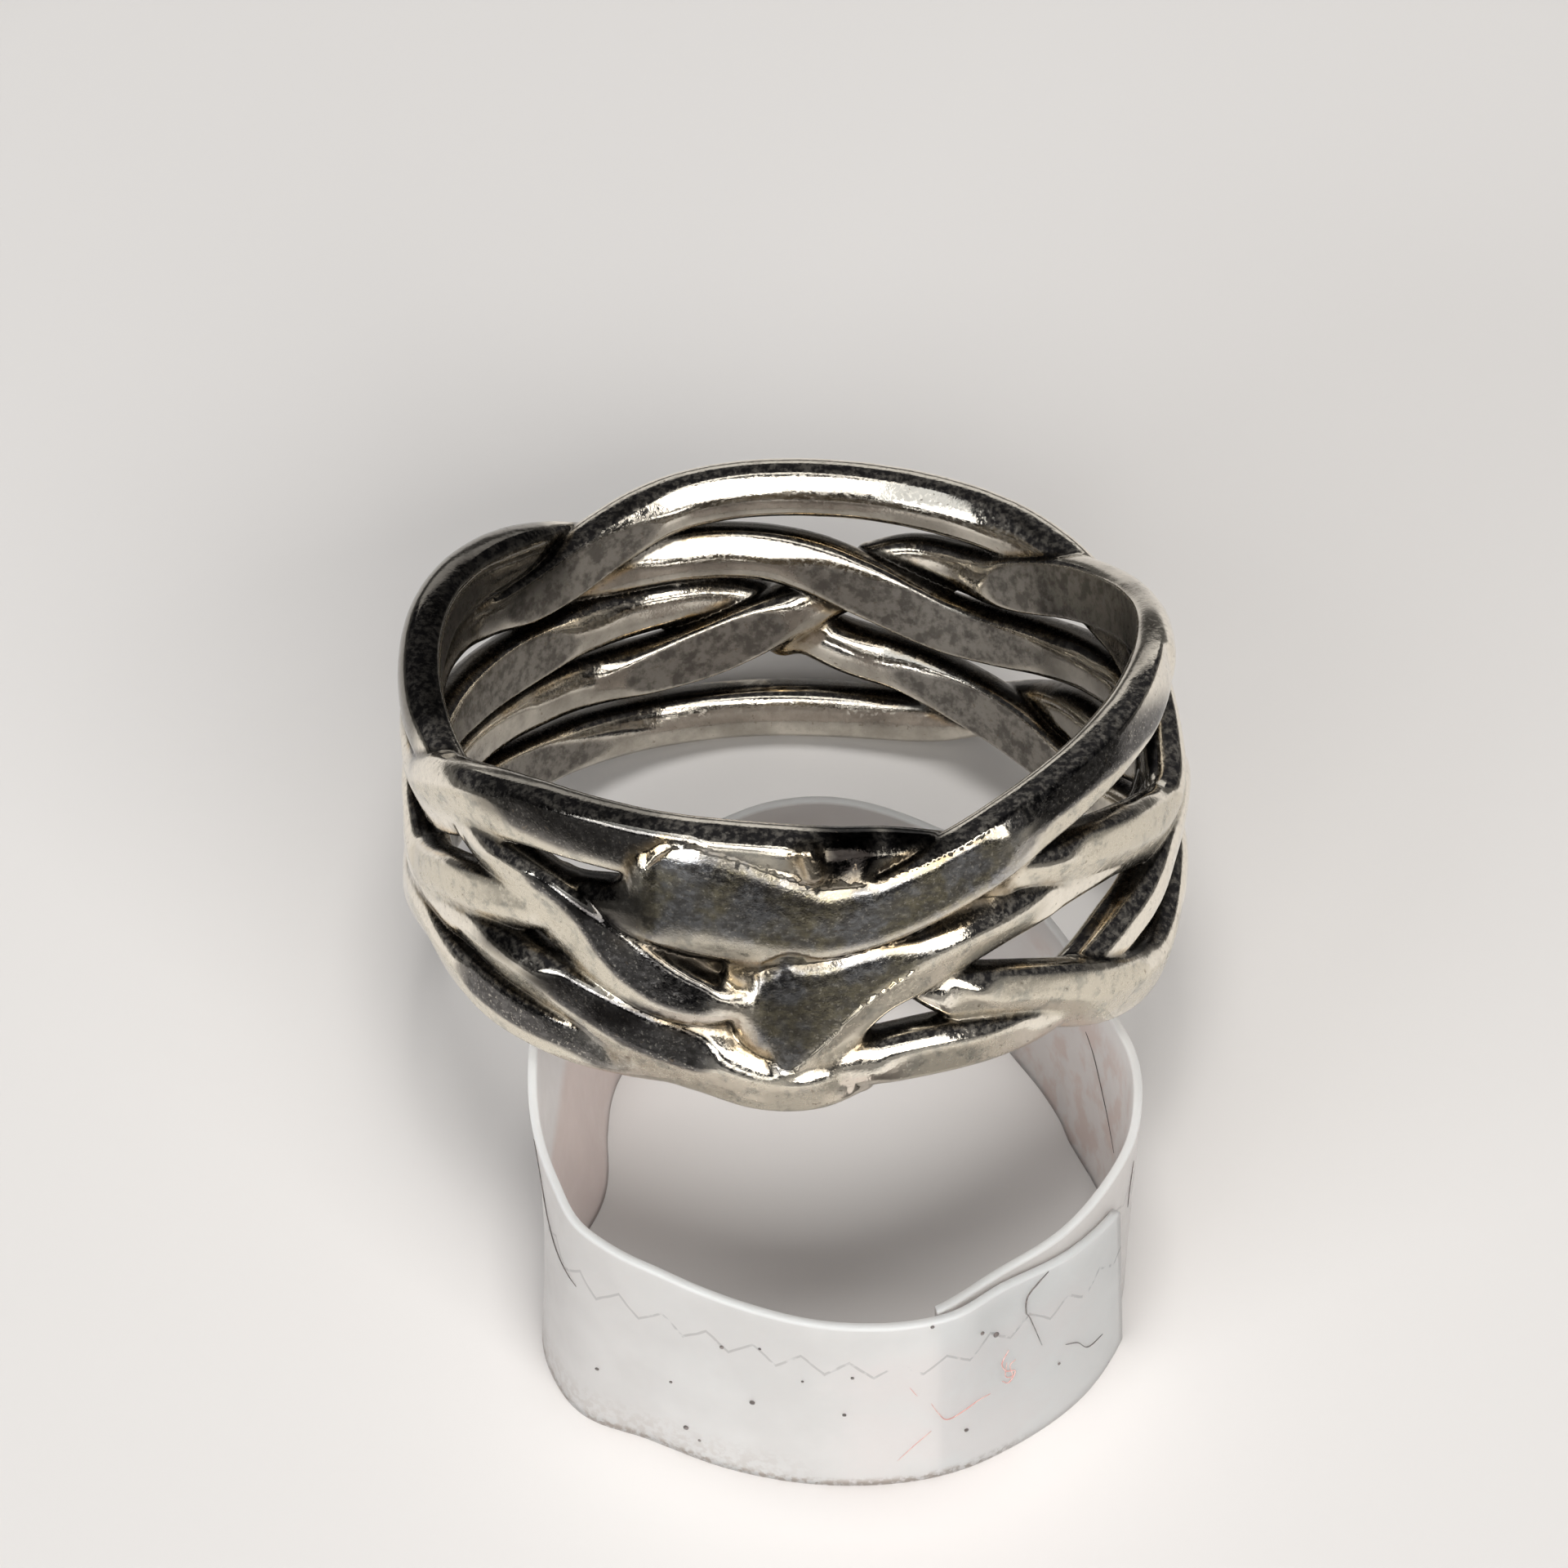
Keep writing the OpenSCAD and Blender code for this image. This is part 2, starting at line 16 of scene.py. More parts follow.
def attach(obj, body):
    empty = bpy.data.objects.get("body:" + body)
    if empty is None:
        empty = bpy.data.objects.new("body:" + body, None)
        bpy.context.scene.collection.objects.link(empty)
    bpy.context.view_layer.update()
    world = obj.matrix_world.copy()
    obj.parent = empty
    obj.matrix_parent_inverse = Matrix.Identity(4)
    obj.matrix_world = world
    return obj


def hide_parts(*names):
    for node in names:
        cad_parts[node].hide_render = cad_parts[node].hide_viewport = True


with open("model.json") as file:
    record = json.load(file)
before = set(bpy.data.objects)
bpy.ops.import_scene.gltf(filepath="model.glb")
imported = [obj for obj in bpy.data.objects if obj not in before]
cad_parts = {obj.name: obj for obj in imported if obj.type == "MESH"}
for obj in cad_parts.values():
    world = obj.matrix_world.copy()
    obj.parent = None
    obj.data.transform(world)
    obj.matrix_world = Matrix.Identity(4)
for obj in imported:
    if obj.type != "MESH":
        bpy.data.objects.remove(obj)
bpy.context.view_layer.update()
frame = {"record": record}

MM = 0.001

# The ring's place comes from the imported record: its middle and the axis of its finger hole
hole = frame["record"]["mounts"][0]
RING_MIDDLE = np.array(hole["pos_m"]) / MM
LEAN = math.atan2(hole["axis"][1], hole["axis"][2])
BORE_R = hole["dims"]["r_mm"]
BAND_R = 10.25
WIRE_SQUARE = 2.4

# Middle of the strip's loop from the middle of the ring, the strip's thickness, the gap inside its lap, and
# how much lower than in its table its edge is, to stay clear of the ring
LOOP_X = 1.25
LOOP_Y = -8.48
STRIP_T = 0.25
LAP_GAP = 0.05
SEAT_GAP = 0.08

# Size of the cells that the band's surface is drawn from, and the most triangles it may keep
CELL = 0.095
BAND_TRIANGLES = 190000

# Depth of the dents in the wires, height of the lumps in the solder, and the noise of each: size in mm, seed
# and share
DENT = 0.006
MELT = 0.025
DENT_NOISE = ((0.9, 3, 1), (0.4, 4, 0.5))
MELT_NOISE = ((0.7, 5, 1), (0.33, 6, 0.6))
# Cells along each side of the noise's lattice, which repeats beyond them
LATTICE = 32

# Columns of the wire tables. Angles start at the front and grow to the right. A row without the last two
# has no facet.
ANGLE, HEIGHT, OFFSET, WIDE, THICK, FACET, TURN = range(7)
# Columns of a wire's look-up table: its middle and three directions, then its section and its faces
MIDDLE, ALONG, OUT, UP = slice(0, 3), slice(3, 6), slice(6, 9), slice(9, 12)
HALF_THICK, HALF_WIDE, TURN_COS, TURN_SIN, PAD_REACH, SPEED, HALF_INSIDE = range(12, 19)
FACE_REACH, FACE_TILT, PAINTED_DARK_MIRROR, EDGE_REACH, POLISHED, CLEAN = range(19, 25)

# Top rim at the front, down and round a bend at the right, then top rim at the back
CROWN = (
    (-82, 1.5, -0.24, 1.75, 1.35, 0.1, 20),
    (-75, 1.5, -0.18, 2.1, 1.35, 0.2, 22),
    (-68, 1.95, -0.08, 2.3, 1.35, 0.25, 22),
    (-61, 2.48, -0.01, 2.3, 1.4, 0.28, 22),
    (-54, 3, 0.08, 2.05, 1.45, 0.25, 20),
    (-46, 3.42, 0.05, 1.85, 1.45, 0.15, 15),
    (-36, 3.6, 0, 1.8, 1.45, 0.1, 10),
    (-20, 3.65, 0, 1.8, 1.45, 0.1, 5),
    (-6, 3.65, 0, 1.8, 1.45, 0.1, 5),
    (6, 3.52, -0.1, 1.65, 1.4),
    (16, 3.3, -0.3, 1.5, 1.2),
    (28, 2.65, -0.3, 1.5, 1.2),
    (38, 2.15, -0.1, 1.65, 1.35, 0.1, 25),
    (47, 1.85, 0.08, 1.85, 1.4, 0.22, 28),
    (56, 1.45, 0.12, 2, 1.4, 0.3, 30),
    (65, 1, 0.14, 2.1, 1.4, 0.3, 28),
    (73, 0.68, 0.18, 2, 1.4, 0.25, 22),
    (80, 0.92, 0.16, 1.8, 1.4, 0.1, 10),
    (86, 1.65, -0.02, 1.65, 1.35),
    (93, 2.3, -0.2, 1.6, 1.3),
    (101, 2.62, -0.24, 1.55, 1.25),
    (110, 2.78, -0.2, 1.55, 1.25),
    (118, 2.88, -0.14, 1.58, 1.3),
    (126, 3.14, -0.03, 1.62, 1.4),
    (134, 3.46, 0, 1.65, 1.45),
    (144, 3.78, 0, 1.65, 1.45),
    (160, 3.96, 0, 1.65, 1.48),
    (180, 4.02, 0, 1.65, 1.48),
    (192, 3.93, 0, 1.65, 1.48),
    (202, 3.65, -0.05, 1.65, 1.5),
    (212, 3.12, -0.2, 1.7, 1.5),
    (220, 2.68, -0.3, 1.75, 1.5),
    (228, 2.46, -0.25, 1.7, 1.45),
    (237, 2.58, -0.08, 1.6, 1.38),
    (248, 2.8, -0.08, 1.6, 1.3),
    (260, 2.6, -0.12, 1.6, 1.25),
    (270, 1.95, -0.18, 1.6, 1.28),
    (278, 1.5, -0.24, 1.75, 1.35, 0.1, 20),
)

# From the lower right pad round the back, along the left, over the front and up the right
SHOULDER = (
    (17, -0.45, -0.2, 0.6, 0.5),
    (22, -0.72, -0.08, 1.3, 1.1),
    (28, -1.15, 0.04, 1.7, 1.4, 0.15, 25),
    (36, -1.65, 0.1, 1.9, 1.45, 0.25, 25),
    (44, -2.22, 0.12, 2, 1.45, 0.3, 28),
    (53, -2.88, 0.15, 2.05, 1.45, 0.3, 28),
    (62, -3.38, 0.18, 2, 1.45, 0.3, 25),
    (70, -3.5, 0.18, 1.9, 1.45, 0.2, 20),
    (77, -3.1, 0.18, 1.75, 1.4, 0.1, 10),
    (84, -2.25, 0.18, 1.65, 1.4),
    (92, -1.95, 0.15, 1.65, 1.42),
    (102, -2.45, 0.05, 1.65, 1.42),
    (115, -2.9, -0.05, 1.65, 1.45),
    (128, -2.72, -0.22, 1.75, 1.5),
    (140, -2.2, -0.3, 1.8, 1.5),
    (150, -1.8, -0.22, 1.75, 1.5),
    (160, -1.4, -0.08, 1.65, 1.45),
    (170, -1.1, 0.08, 1.6, 1.4),
    (178, -0.6, 0.3, 1.5, 1.25),
    (186, 0.15, 0.35, 1.5, 1.2),
    (196, 0.6, 0.22, 1.6, 1.35),
    (208, 0.6, 0.05, 1.65, 1.42),
    (220, 0.58, -0.12, 1.7, 1.5),
    (232, 0.55, -0.28, 1.8, 1.5),
    (244, 0.5, -0.25, 1.75, 1.5),
    (257, 0.45, -0.16, 1.65, 1.4),
    (268, 0.05, -0.2, 1.65, 1.35),
    (277, -0.65, -0.22, 1.8, 1.35, 0.1, 15),
    (285, -1.02, -0.14, 2, 1.38, 0.2, 22),
    (292, -0.78, -0.04, 2.05, 1.4, 0.28, 25),
    (299, -0.3, 0.04, 2, 1.4, 0.3, 28),
    (307, 0.22, 0.08, 1.8, 1.4, 0.2, 28),
    (317, 0.7, -0.05, 1.6, 1.35, 0.1, 25),
    (327, 1.3, -0.15, 1.55, 1.3),
    (337, 1.65, -0.02, 1.7, 1.4),
    (347, 1.66, 0.1, 1.95, 1.45, 0.12, 0),
    (358, 1.62, 0.15, 2.05, 1.5, 0.15, 0),
    (367, 1.8, 0.15, 2.05, 1.5, 0.15, 2),
    (376, 2.3, 0.15, 2, 1.5, 0.15, 5),
    (386, 2.96, 0.15, 1.95, 1.5, 0.15, 8),
    (396, 3.58, 0.15, 1.9, 1.5, 0.15, 10),
    (407, 4.15, 0.12, 1.8, 1.5, 0.12, 12),
    (420, 4.6, 0.02, 1.7, 1.48, 0.05, 12),
    (434, 4.8, -0.16, 1.65, 1.34),
    (448, 4.62, -0.34, 1.65, 1.28),
    (461, 4.18, -0.38, 1.7, 1.32),
    (474, 3.64, -0.34, 1.8, 1.45),
    (486, 3.1, -0.32, 1.85, 1.5),
    (497, 2.5, -0.28, 1.8, 1.45),
    (504, 2.15, -0.1, 1.65, 1.35),
    (512, 2.05, 0.18, 1.5, 1.2),
    (520, 1.95, 0.35, 1.35, 1.05),
    (527, 1.6, 0.4, 1.1, 0.85),
)

# From behind the middle of the back, along the left to the point at the front
SASH = (
    (162, 1.35, 0.42, 1.2, 0.9),
    (170, 0.8, 0.32, 1.45, 1.15),
    (178, 0.22, 0.05, 1.6, 1.4),
    (186, -0.35, -0.22, 1.75, 1.5),
    (194, -0.85, -0.3, 1.8, 1.5),
    (203, -1.18, -0.2, 1.7, 1.5),
    (213, -1.28, 0, 1.65, 1.45),
    (228, -1.2, 0.02, 1.65, 1.42),
    (244, -1.12, -0.05, 1.65, 1.4),
    (262, -1.1, -0.15, 1.65, 1.35),
    (280, -1.35, -0.25, 1.6, 1.25),
    (293, -1.1, -0.25, 1.6, 1.25),
    (304, -0.88, -0.15, 1.65, 1.35, 0.05, 25),
    (313, -0.98, 0, 1.8, 1.42, 0.14, 25),
    (321, -1.3, 0.05, 2.05, 1.45, 0.24, 25),
    (329, -1.66, 0.08, 2.25, 1.48, 0.24, 25),
    (338, -2.08, 0.1, 2.35, 1.5, 0.18, 25),
    (348, -2.52, 0.12, 2.2, 1.5, 0.18, 25),
    (356, -3, 0.15, 1.95, 1.5, 0.18, 25),
    (363, -3.08, 0.12, 1.85, 1.45, 0.15, 25),
    (370, -2.95, 0, 1.3, 1.15),
)

# From the point at the front up to the right, then the wire of the back with the long flat
FOOT = (
    (-6, -3.25, 0.05, 1.1, 1.1),
    (-1, -2.9, 0.12, 1.7, 1.45, 0.12, 25),
    (3, -1.98, 0.12, 1.95, 1.45, 0.1, 16),
    (7, -1.02, 0.12, 2, 1.45, 0.12, 16),
    (12, -0.24, 0.12, 1.95, 1.45, 0.12, 16),
    (19, 0.28, 0.1, 1.9, 1.45, 0.12, 18),
    (27, 0.68, 0.02, 1.8, 1.42, 0.15, 25),
    (36, 0.92, -0.12, 1.65, 1.35, 0.1, 25),
    (46, 1.02, -0.28, 1.5, 1.2),
    (57, 0.9, -0.32, 1.5, 1.15),
    (70, 0.6, -0.28, 1.55, 1.15),
    (84, 0.55, -0.18, 1.6, 1.3),
    (98, 0.8, -0.02, 1.65, 1.4),
    (110, 0.95, 0.02, 1.65, 1.42),
    (122, 0.82, 0.02, 1.65, 1.42),
    (133, 0.58, -0.08, 1.7, 1.45),
    (143, 0.36, -0.18, 1.75, 1.5),
    (152, 0.38, -0.28, 1.8, 1.5),
    (160, 0.72, -0.32, 1.85, 1.5),
    (168, 1.18, -0.3, 1.85, 1.5),
    (176, 1.68, -0.2, 1.75, 1.5),
    (185, 1.98, -0.02, 1.65, 1.48),
    (196, 2.1, 0.05, 1.65, 1.45),
    (207, 2, 0.15, 1.6, 1.4),
    (217, 1.75, 0.3, 1.45, 1.15),
    (226, 1.45, 0.35, 1.15, 0.85),
)

# Lowest wire, all the way round
BASE = (
    (-71, -2.15, -0.18, 1.65, 1.42, 0.1, 20),
    (-61, -2.32, -0.08, 1.7, 1.42, 0.12, 20),
    (-49, -2.62, 0.02, 1.7, 1.42, 0.12, 20),
    (-36, -2.8, 0, 1.6, 1.42, 0.1, 20),
    (-24, -2.84, -0.1, 1.5, 1.3),
    (-12, -2.84, -0.2, 1.4, 1.2),
    (0, -2.78, -0.15, 1.4, 1.3),
    (10, -2.6, 0.02, 1.5, 1.42),
    (20, -2.5, 0.05, 1.65, 1.42, 0.1, 15),
    (31, -2.55, 0, 1.6, 1.42, 0.08, 15),
    (42, -2.6, -0.15, 1.5, 1.3),
    (51, -2.25, -0.22, 1.5, 1.2),
    (60, -1.7, -0.15, 1.55, 1.3),
    (68, -1.15, 0, 1.6, 1.4),
    (76, -0.45, 0.05, 1.65, 1.42),
    (84, 0.1, 0.14, 1.65, 1.4),
    (92, 0.1, 0.22, 1.65, 1.38),
    (104, -0.65, 0.22, 1.65, 1.38),
    (116, -1.15, 0.05, 1.65, 1.42),
    (127, -1.25, 0.18, 1.6, 1.4),
    (136, -1.7, 0.38, 1.5, 1.2),
    (146, -2.45, 0.38, 1.5, 1.2),
    (156, -3.02, 0.15, 1.6, 1.35),
    (168, -3.18, 0.02, 1.65, 1.42),
    (186, -3.2, 0.02, 1.65, 1.42),
    (206, -3.18, 0, 1.65, 1.42),
    (220, -3.1, -0.12, 1.65, 1.48),
    (230, -3, -0.25, 1.7, 1.5),
    (242, -2.78, -0.2, 1.7, 1.5),
    (256, -2.68, -0.12, 1.65, 1.42),
    (272, -2.62, -0.2, 1.65, 1.4),
    (289, -2.15, -0.18, 1.65, 1.42, 0.1, 20),
)

# Left rim, from outside the crown down to the rounded tip at the front
RIM = (
    (212, 2.95, 0.38, 0.95, 0.75),
    (219, 3.18, 0.35, 1.4, 1.1),
    (230, 3.65, 0.1, 1.65, 1.38),
    (243, 3.98, -0.08, 1.65, 1.38),
    (256, 3.96, -0.15, 1.65, 1.36),
    (268, 3.65, -0.2, 1.65, 1.34),
    (280, 3.2, -0.24, 1.6, 1.3),
    (291, 2.75, -0.3, 1.5, 1.15),
    (301, 2.3, -0.3, 1.5, 1.15),
    (309, 1.92, -0.1, 1.65, 1.35, 0.1, 28),
    (316, 1.58, 0.08, 2, 1.42, 0.3, 20),
    (323, 1.18, 0.15, 2.25, 1.45, 0.38, 16),
    (328, 0.74, 0.18, 2.5, 1.45, 0.4, 17),
    (333, 0.3, 0.18, 2.6, 1.45, 0.24, 18),
    (338, -0.1, 0.18, 2.35, 1.45, 0.12, 20),
    (343, -0.42, 0.18, 1.95, 1.45, 0.06, 20),
    (349, -0.62, 0.18, 1.4, 1.35, 0.05, 20),
    (353.5, -0.6, 0.12, 1, 0.9),
    (355, -0.58, 0.08, 0.6, 0.5),
)

# Solder run into the gaps: first angle and height, last angle and height, radius, offset. The last row is a
# bead that hangs from the crown at the front.
SOLDER = (
    (-18, 2.72, 0, 2.62, 0.52, 0.08),
    (-2, 2.9, 9, 2.9, 0.6, 0.05),
    (-24, 0.95, -2, 0.7, 0.5, -0.05),
    (-6, 0.3, 4, 0.25, 0.66, 0),
    (-6, -0.55, 2, -0.8, 0.66, 0),
    (-5, -1.5, 0, -2.2, 0.62, 0.02),
    (4, 0.7, 16, 1.28, 0.48, -0.05),
    (16, 1.28, 32, 1.9, 0.45, -0.12),
    (-16, -1.3, -5, -1.6, 0.48, -0.02),
    (-24, -2.6, -8, -3.05, 0.5, -0.05),
    (4, -2.4, 10, -2.2, 0.55, 0),
    (176, -0.45, 181, -1, 0.5, 0.15),
    (211, 2.75, 218, 2.4, 0.52, 0.18),
    (169, 1.15, 174, 0.85, 0.5, 0.22),
    (-18, 0.62, -8.5, 0.32, 0.32, -0.12),
    (2.6, 4.1, 3.6, 3.45, 0.2, 0.62),
)

# The strip's loop: angle, radius at the floor, radius and height of its edge, layer of the lap
STRIP = (
    (17.5, 9.19, 8.75, 7, 0),
    (31, 9.12, 8.35, 7, 0),
    (46, 9.03, 8.42, 7, 0),
    (58, 8.8, 8.42, 7, 0),
    (70, 8.4, 8.42, 6.95, 0),
    (82, 7.95, 8.25, 6.75, 0),
    (94, 7.36, 8.1, 6.15, 0),
    (104, 7, 7.98, 5.58, 0),
    (112, 6.98, 7.92, 5.42, 0),
    (121, 6.98, 7.9, 5.52, 0),
    (131, 7.05, 7.9, 5.9, 0),
    (141, 7.32, 7.95, 6.4, 0),
    (151, 7.7, 8, 6.8, 0),
    (162, 8, 8.1, 7, 0),
    (180, 8.3, 8.57, 7, 0),
    (192, 8.25, 8.58, 7, 0),
    (204, 8, 8.33, 7, 0),
    (220, 7.6, 8.1, 7, 0),
    (237, 7.3, 8.05, 6.95, 0),
    (252, 6.75, 8.1, 7.02, 0),
    (264, 6.42, 8.12, 7.08, 0),
    (275, 6.65, 8.18, 7.08, 0),
    (288, 7.8, 8.38, 7, 0),
    (300, 9.1, 8.6, 7, 0),
    (309, 9.65, 8.84, 7, 0),
    (317, 9.8, 8.74, 7, 0),
    (328, 9.32, 8.52, 7, 0),
    (343, 9.2, 8.5, 7, 0.2),
    (360, 9.1, 8.6, 7, 0.8),
    (379, 9.18, 8.72, 6.95, 1),
    (391, 9.12, 8.38, 6.8, 1),
    (406, 9.05, 8.46, 6.4, 1),
    (419, 8.8, 8.46, 5.95, 1),
)

# Silver hammered flat over the wires at the front: the broad plate under the crown, and the V below it
PLATE = (
    (-36, 1.85, -0.3, 0.5, 0.5),
    (-31, 1.72, -0.1, 0.85, 0.6),
    (-26, 1.66, 0.12, 1.35, 0.8),
    (-21, 1.95, 0.28, 2.1, 0.9),
    (-16, 2.5, 0.38, 2.8, 0.9),
    (-9, 2.52, 0.42, 2.75, 0.9),
    (0, 2.15, 0.42, 2.3, 0.9),
    (6, 1.97, 0.42, 2, 0.9),
    (14, 2.15, 0.4, 1.9, 0.9),
    (24, 2.72, 0.4, 1.85, 0.9),
    (34, 3.4, 0.36, 1.7, 0.9),
    (40, 3.8, 0.1, 1.2, 0.8),
)
WEDGE = (
    (-7, -0.3, 0.1, 1, 0.8),
    (-4, -0.55, 0.36, 2.4, 0.9),
    (0, -0.7, 0.4, 3.4, 0.9),
    (5, -0.36, 0.4, 2.4, 0.9),
    (10, 0.22, 0.4, 1.6, 0.9),
    (14, 0.52, 0.38, 1.2, 0.9),
    (19, 0.85, 0.3, 0.8, 0.8),
    (26, 1.1, 0.05, 0.6, 0.6),
)
# Where each one's face starts, and the degrees over which it comes in
FACE_STARTS = ((-25, 7), (-7, 4))
# A hammered face is cut this far below the silver's own top, and leans out by this much per mm of height
FACE_DEPTH = 0.10
FACE_LEAN = 0.06

# Broad hammered faces on the wires: name, first and last angle, depth of the cut, lean per mm of height,
# and how much of the face is painted dark as a dark reflection
FACES = (
    ("CROWN", -50, -8, 0.15, 0.04, 0.95), ("SHOULDER", 384, 444, 0.14, 0.22, 1),
    ("RIM", 314, 353.5, 0.13, 0.1, 1), ("SASH", 318, 353, 0.15, 0.06, 1),
    ("BASE", -60, -20, 0.12, 0.08, 1), ("SHOULDER", 280, 325, 0.12, 0.12, 0),
    ("SHOULDER", 24, 66, 0.1, 0.1, 0), ("CROWN", 40, 80, 0.1, 0.1, 0),
)
# Where the upper inside edge of a wire is worn to a face: name, first and last angle, depth of the cut
WORN_EDGES = (
    ("CROWN", 132, 238, 0.07), ("FOOT", 150, 214, 0.09), ("BASE", 158, 238, 0.04),
    ("SHOULDER", 116, 176, 0.05), ("SHOULDER", 200, 236, 0.04), ("SASH", 204, 240, 0.04),
)
EDGE_TURN = math.radians(22)
# Where each wire's inside is worn flat: its name, first angle, last angle
WORN = (
    ("CROWN", -60, 60), ("CROWN", 205, 236), ("SHOULDER", 105, 150), ("SHOULDER", 158, 200),
    ("SHOULDER", 225, 330), ("SHOULDER", 380, 500), ("SASH", 176, 207), ("SASH", 225, 345),
    ("FOOT", 20, 60), ("FOOT", 118, 158), ("BASE", -71, 60), ("BASE", 120, 289), ("RIM", 225, 340),
)
# Places painted dark as shade over their highlights and lit silver: first and last angle, lowest and highest
# height, share of painted shade, largest radius
PAINTED_SHADE = (
    (3, 15, 3.15, 5.2, 1, 12), (13, 24, 3.5, 5.2, 1, 12), (-33, -18, 1.2, 2.8, 0.9, 12),
    (-26, -12, 0.8, 3.2, 0.4, 12), (-20, -4, 0.4, 1.3, 0.6, 12), (-5, 4, -2.2, 1.2, 0.35, 12),
    (-140, -72, 2.2, 5.4, 0.75, 12), (-50, -18, 3.3, 5, 0.6, 12), (-50, -40, -0.9, -0.1, 0.85, 12),
    (-41, -30, -1.5, -0.7, 0.85, 12), (-31, -19, -1.9, -1, 0.85, 12), (58, 104, 0.6, 4.4, 0.95, 10.3),
    (102, 132, -1.7, 3.6, 0.6, 10.1),
)
# How far inside the worn flats a round stretch of wire stays
EASE = 0.11

# Degrees between two entries of a wire's look-up table
LOOK_STEP = 0.25
# How far a face stands clear of a wire where its cut has faded out
CLEAR = 0.14
# Distance given to points that no wire is near
FAR = 1.0
# Degrees past its ends, and height above or below its middle, within which a wire is looked for
END_REACH = 9
SIDE_REACH = 2.2
# Fillets: where wires meet, where solder has run, round hammered silver, and at the rims of flats
WIRE_FILLET = 0.07
SOLDER_FILLET = 0.35
HAMMER_FILLET = 0.20
RIM_FILLET = 0.10
# Corners of the grid that the band is drawn in, and the radius that the band stays within
GRID_LOW = (-11.7, -11.7, -4.8)
GRID_HIGH = (11.7, 11.7, 6.0)
OUTER_R = 11.55


def table_values(rows, angles, closed=False):
    """All columns of a table at the given angles, on smooth curves through its rows."""
    table = np.array(rows, float)
    at = table[:, 0]
    before = np.vstack([table[-2] if closed else table[0], table[:-1]])
    after = np.vstack([table[1:], table[1] if closed else table[-1]])
    before_at = np.concatenate([[at[-2] - 360 if closed else at[0]], at[:-1]])
    after_at = np.concatenate([at[1:], [at[1] + 360 if closed else at[-1]]])
    slopes = (after - before) / (after_at - before_at)[:, None]
    i = np.clip(np.searchsorted(at, angles, side="right") - 1, 0, len(at) - 2)
    run = at[i + 1] - at[i]
    s = ((angles - at[i]) / run)[:, None]
    m0 = slopes[i] * run[:, None]
    m1 = slopes[i + 1] * run[:, None]
    return ((2 * s**3 - 3 * s**2 + 1) * table[i] + (s**3 - 2 * s**2 + s) * m0
            + (3 * s**2 - 2 * s**3) * table[i + 1] + (s**3 - s**2) * m1)


def smooth_min(a, b, k):
    h = np.maximum(k - np.abs(a - b), 0) / k
    return np.minimum(a, b) - h * h * k / 4


def smooth_max(a, b, k):
    return -smooth_min(-a, -b, k)


def ramp(x, low, high):
    """0 below low, 1 above high, smooth between."""
    t = np.clip((x - low) / (high - low), 0, 1)
    return t * t * (3 - 2 * t)


def between(x, low, full, still_full, high):
    """0 below low and above high, 1 from full to still_full, smooth between."""
    return ramp(x, low, full) * (1 - ramp(x, still_full, high))


def unit_rows(v):
    return v / np.maximum(np.linalg.norm(v, axis=1), 1e-12)[:, None]


def dot_rows(a, b):
    return (a * b).sum(1)


def radius_of(points):
    return np.hypot(points[:, 0], points[:, 1])


def rows_of(name, table):
    """What follows the name in each row of a table that starts with it."""
    return [row[1:] for row in table if row[0] == name]


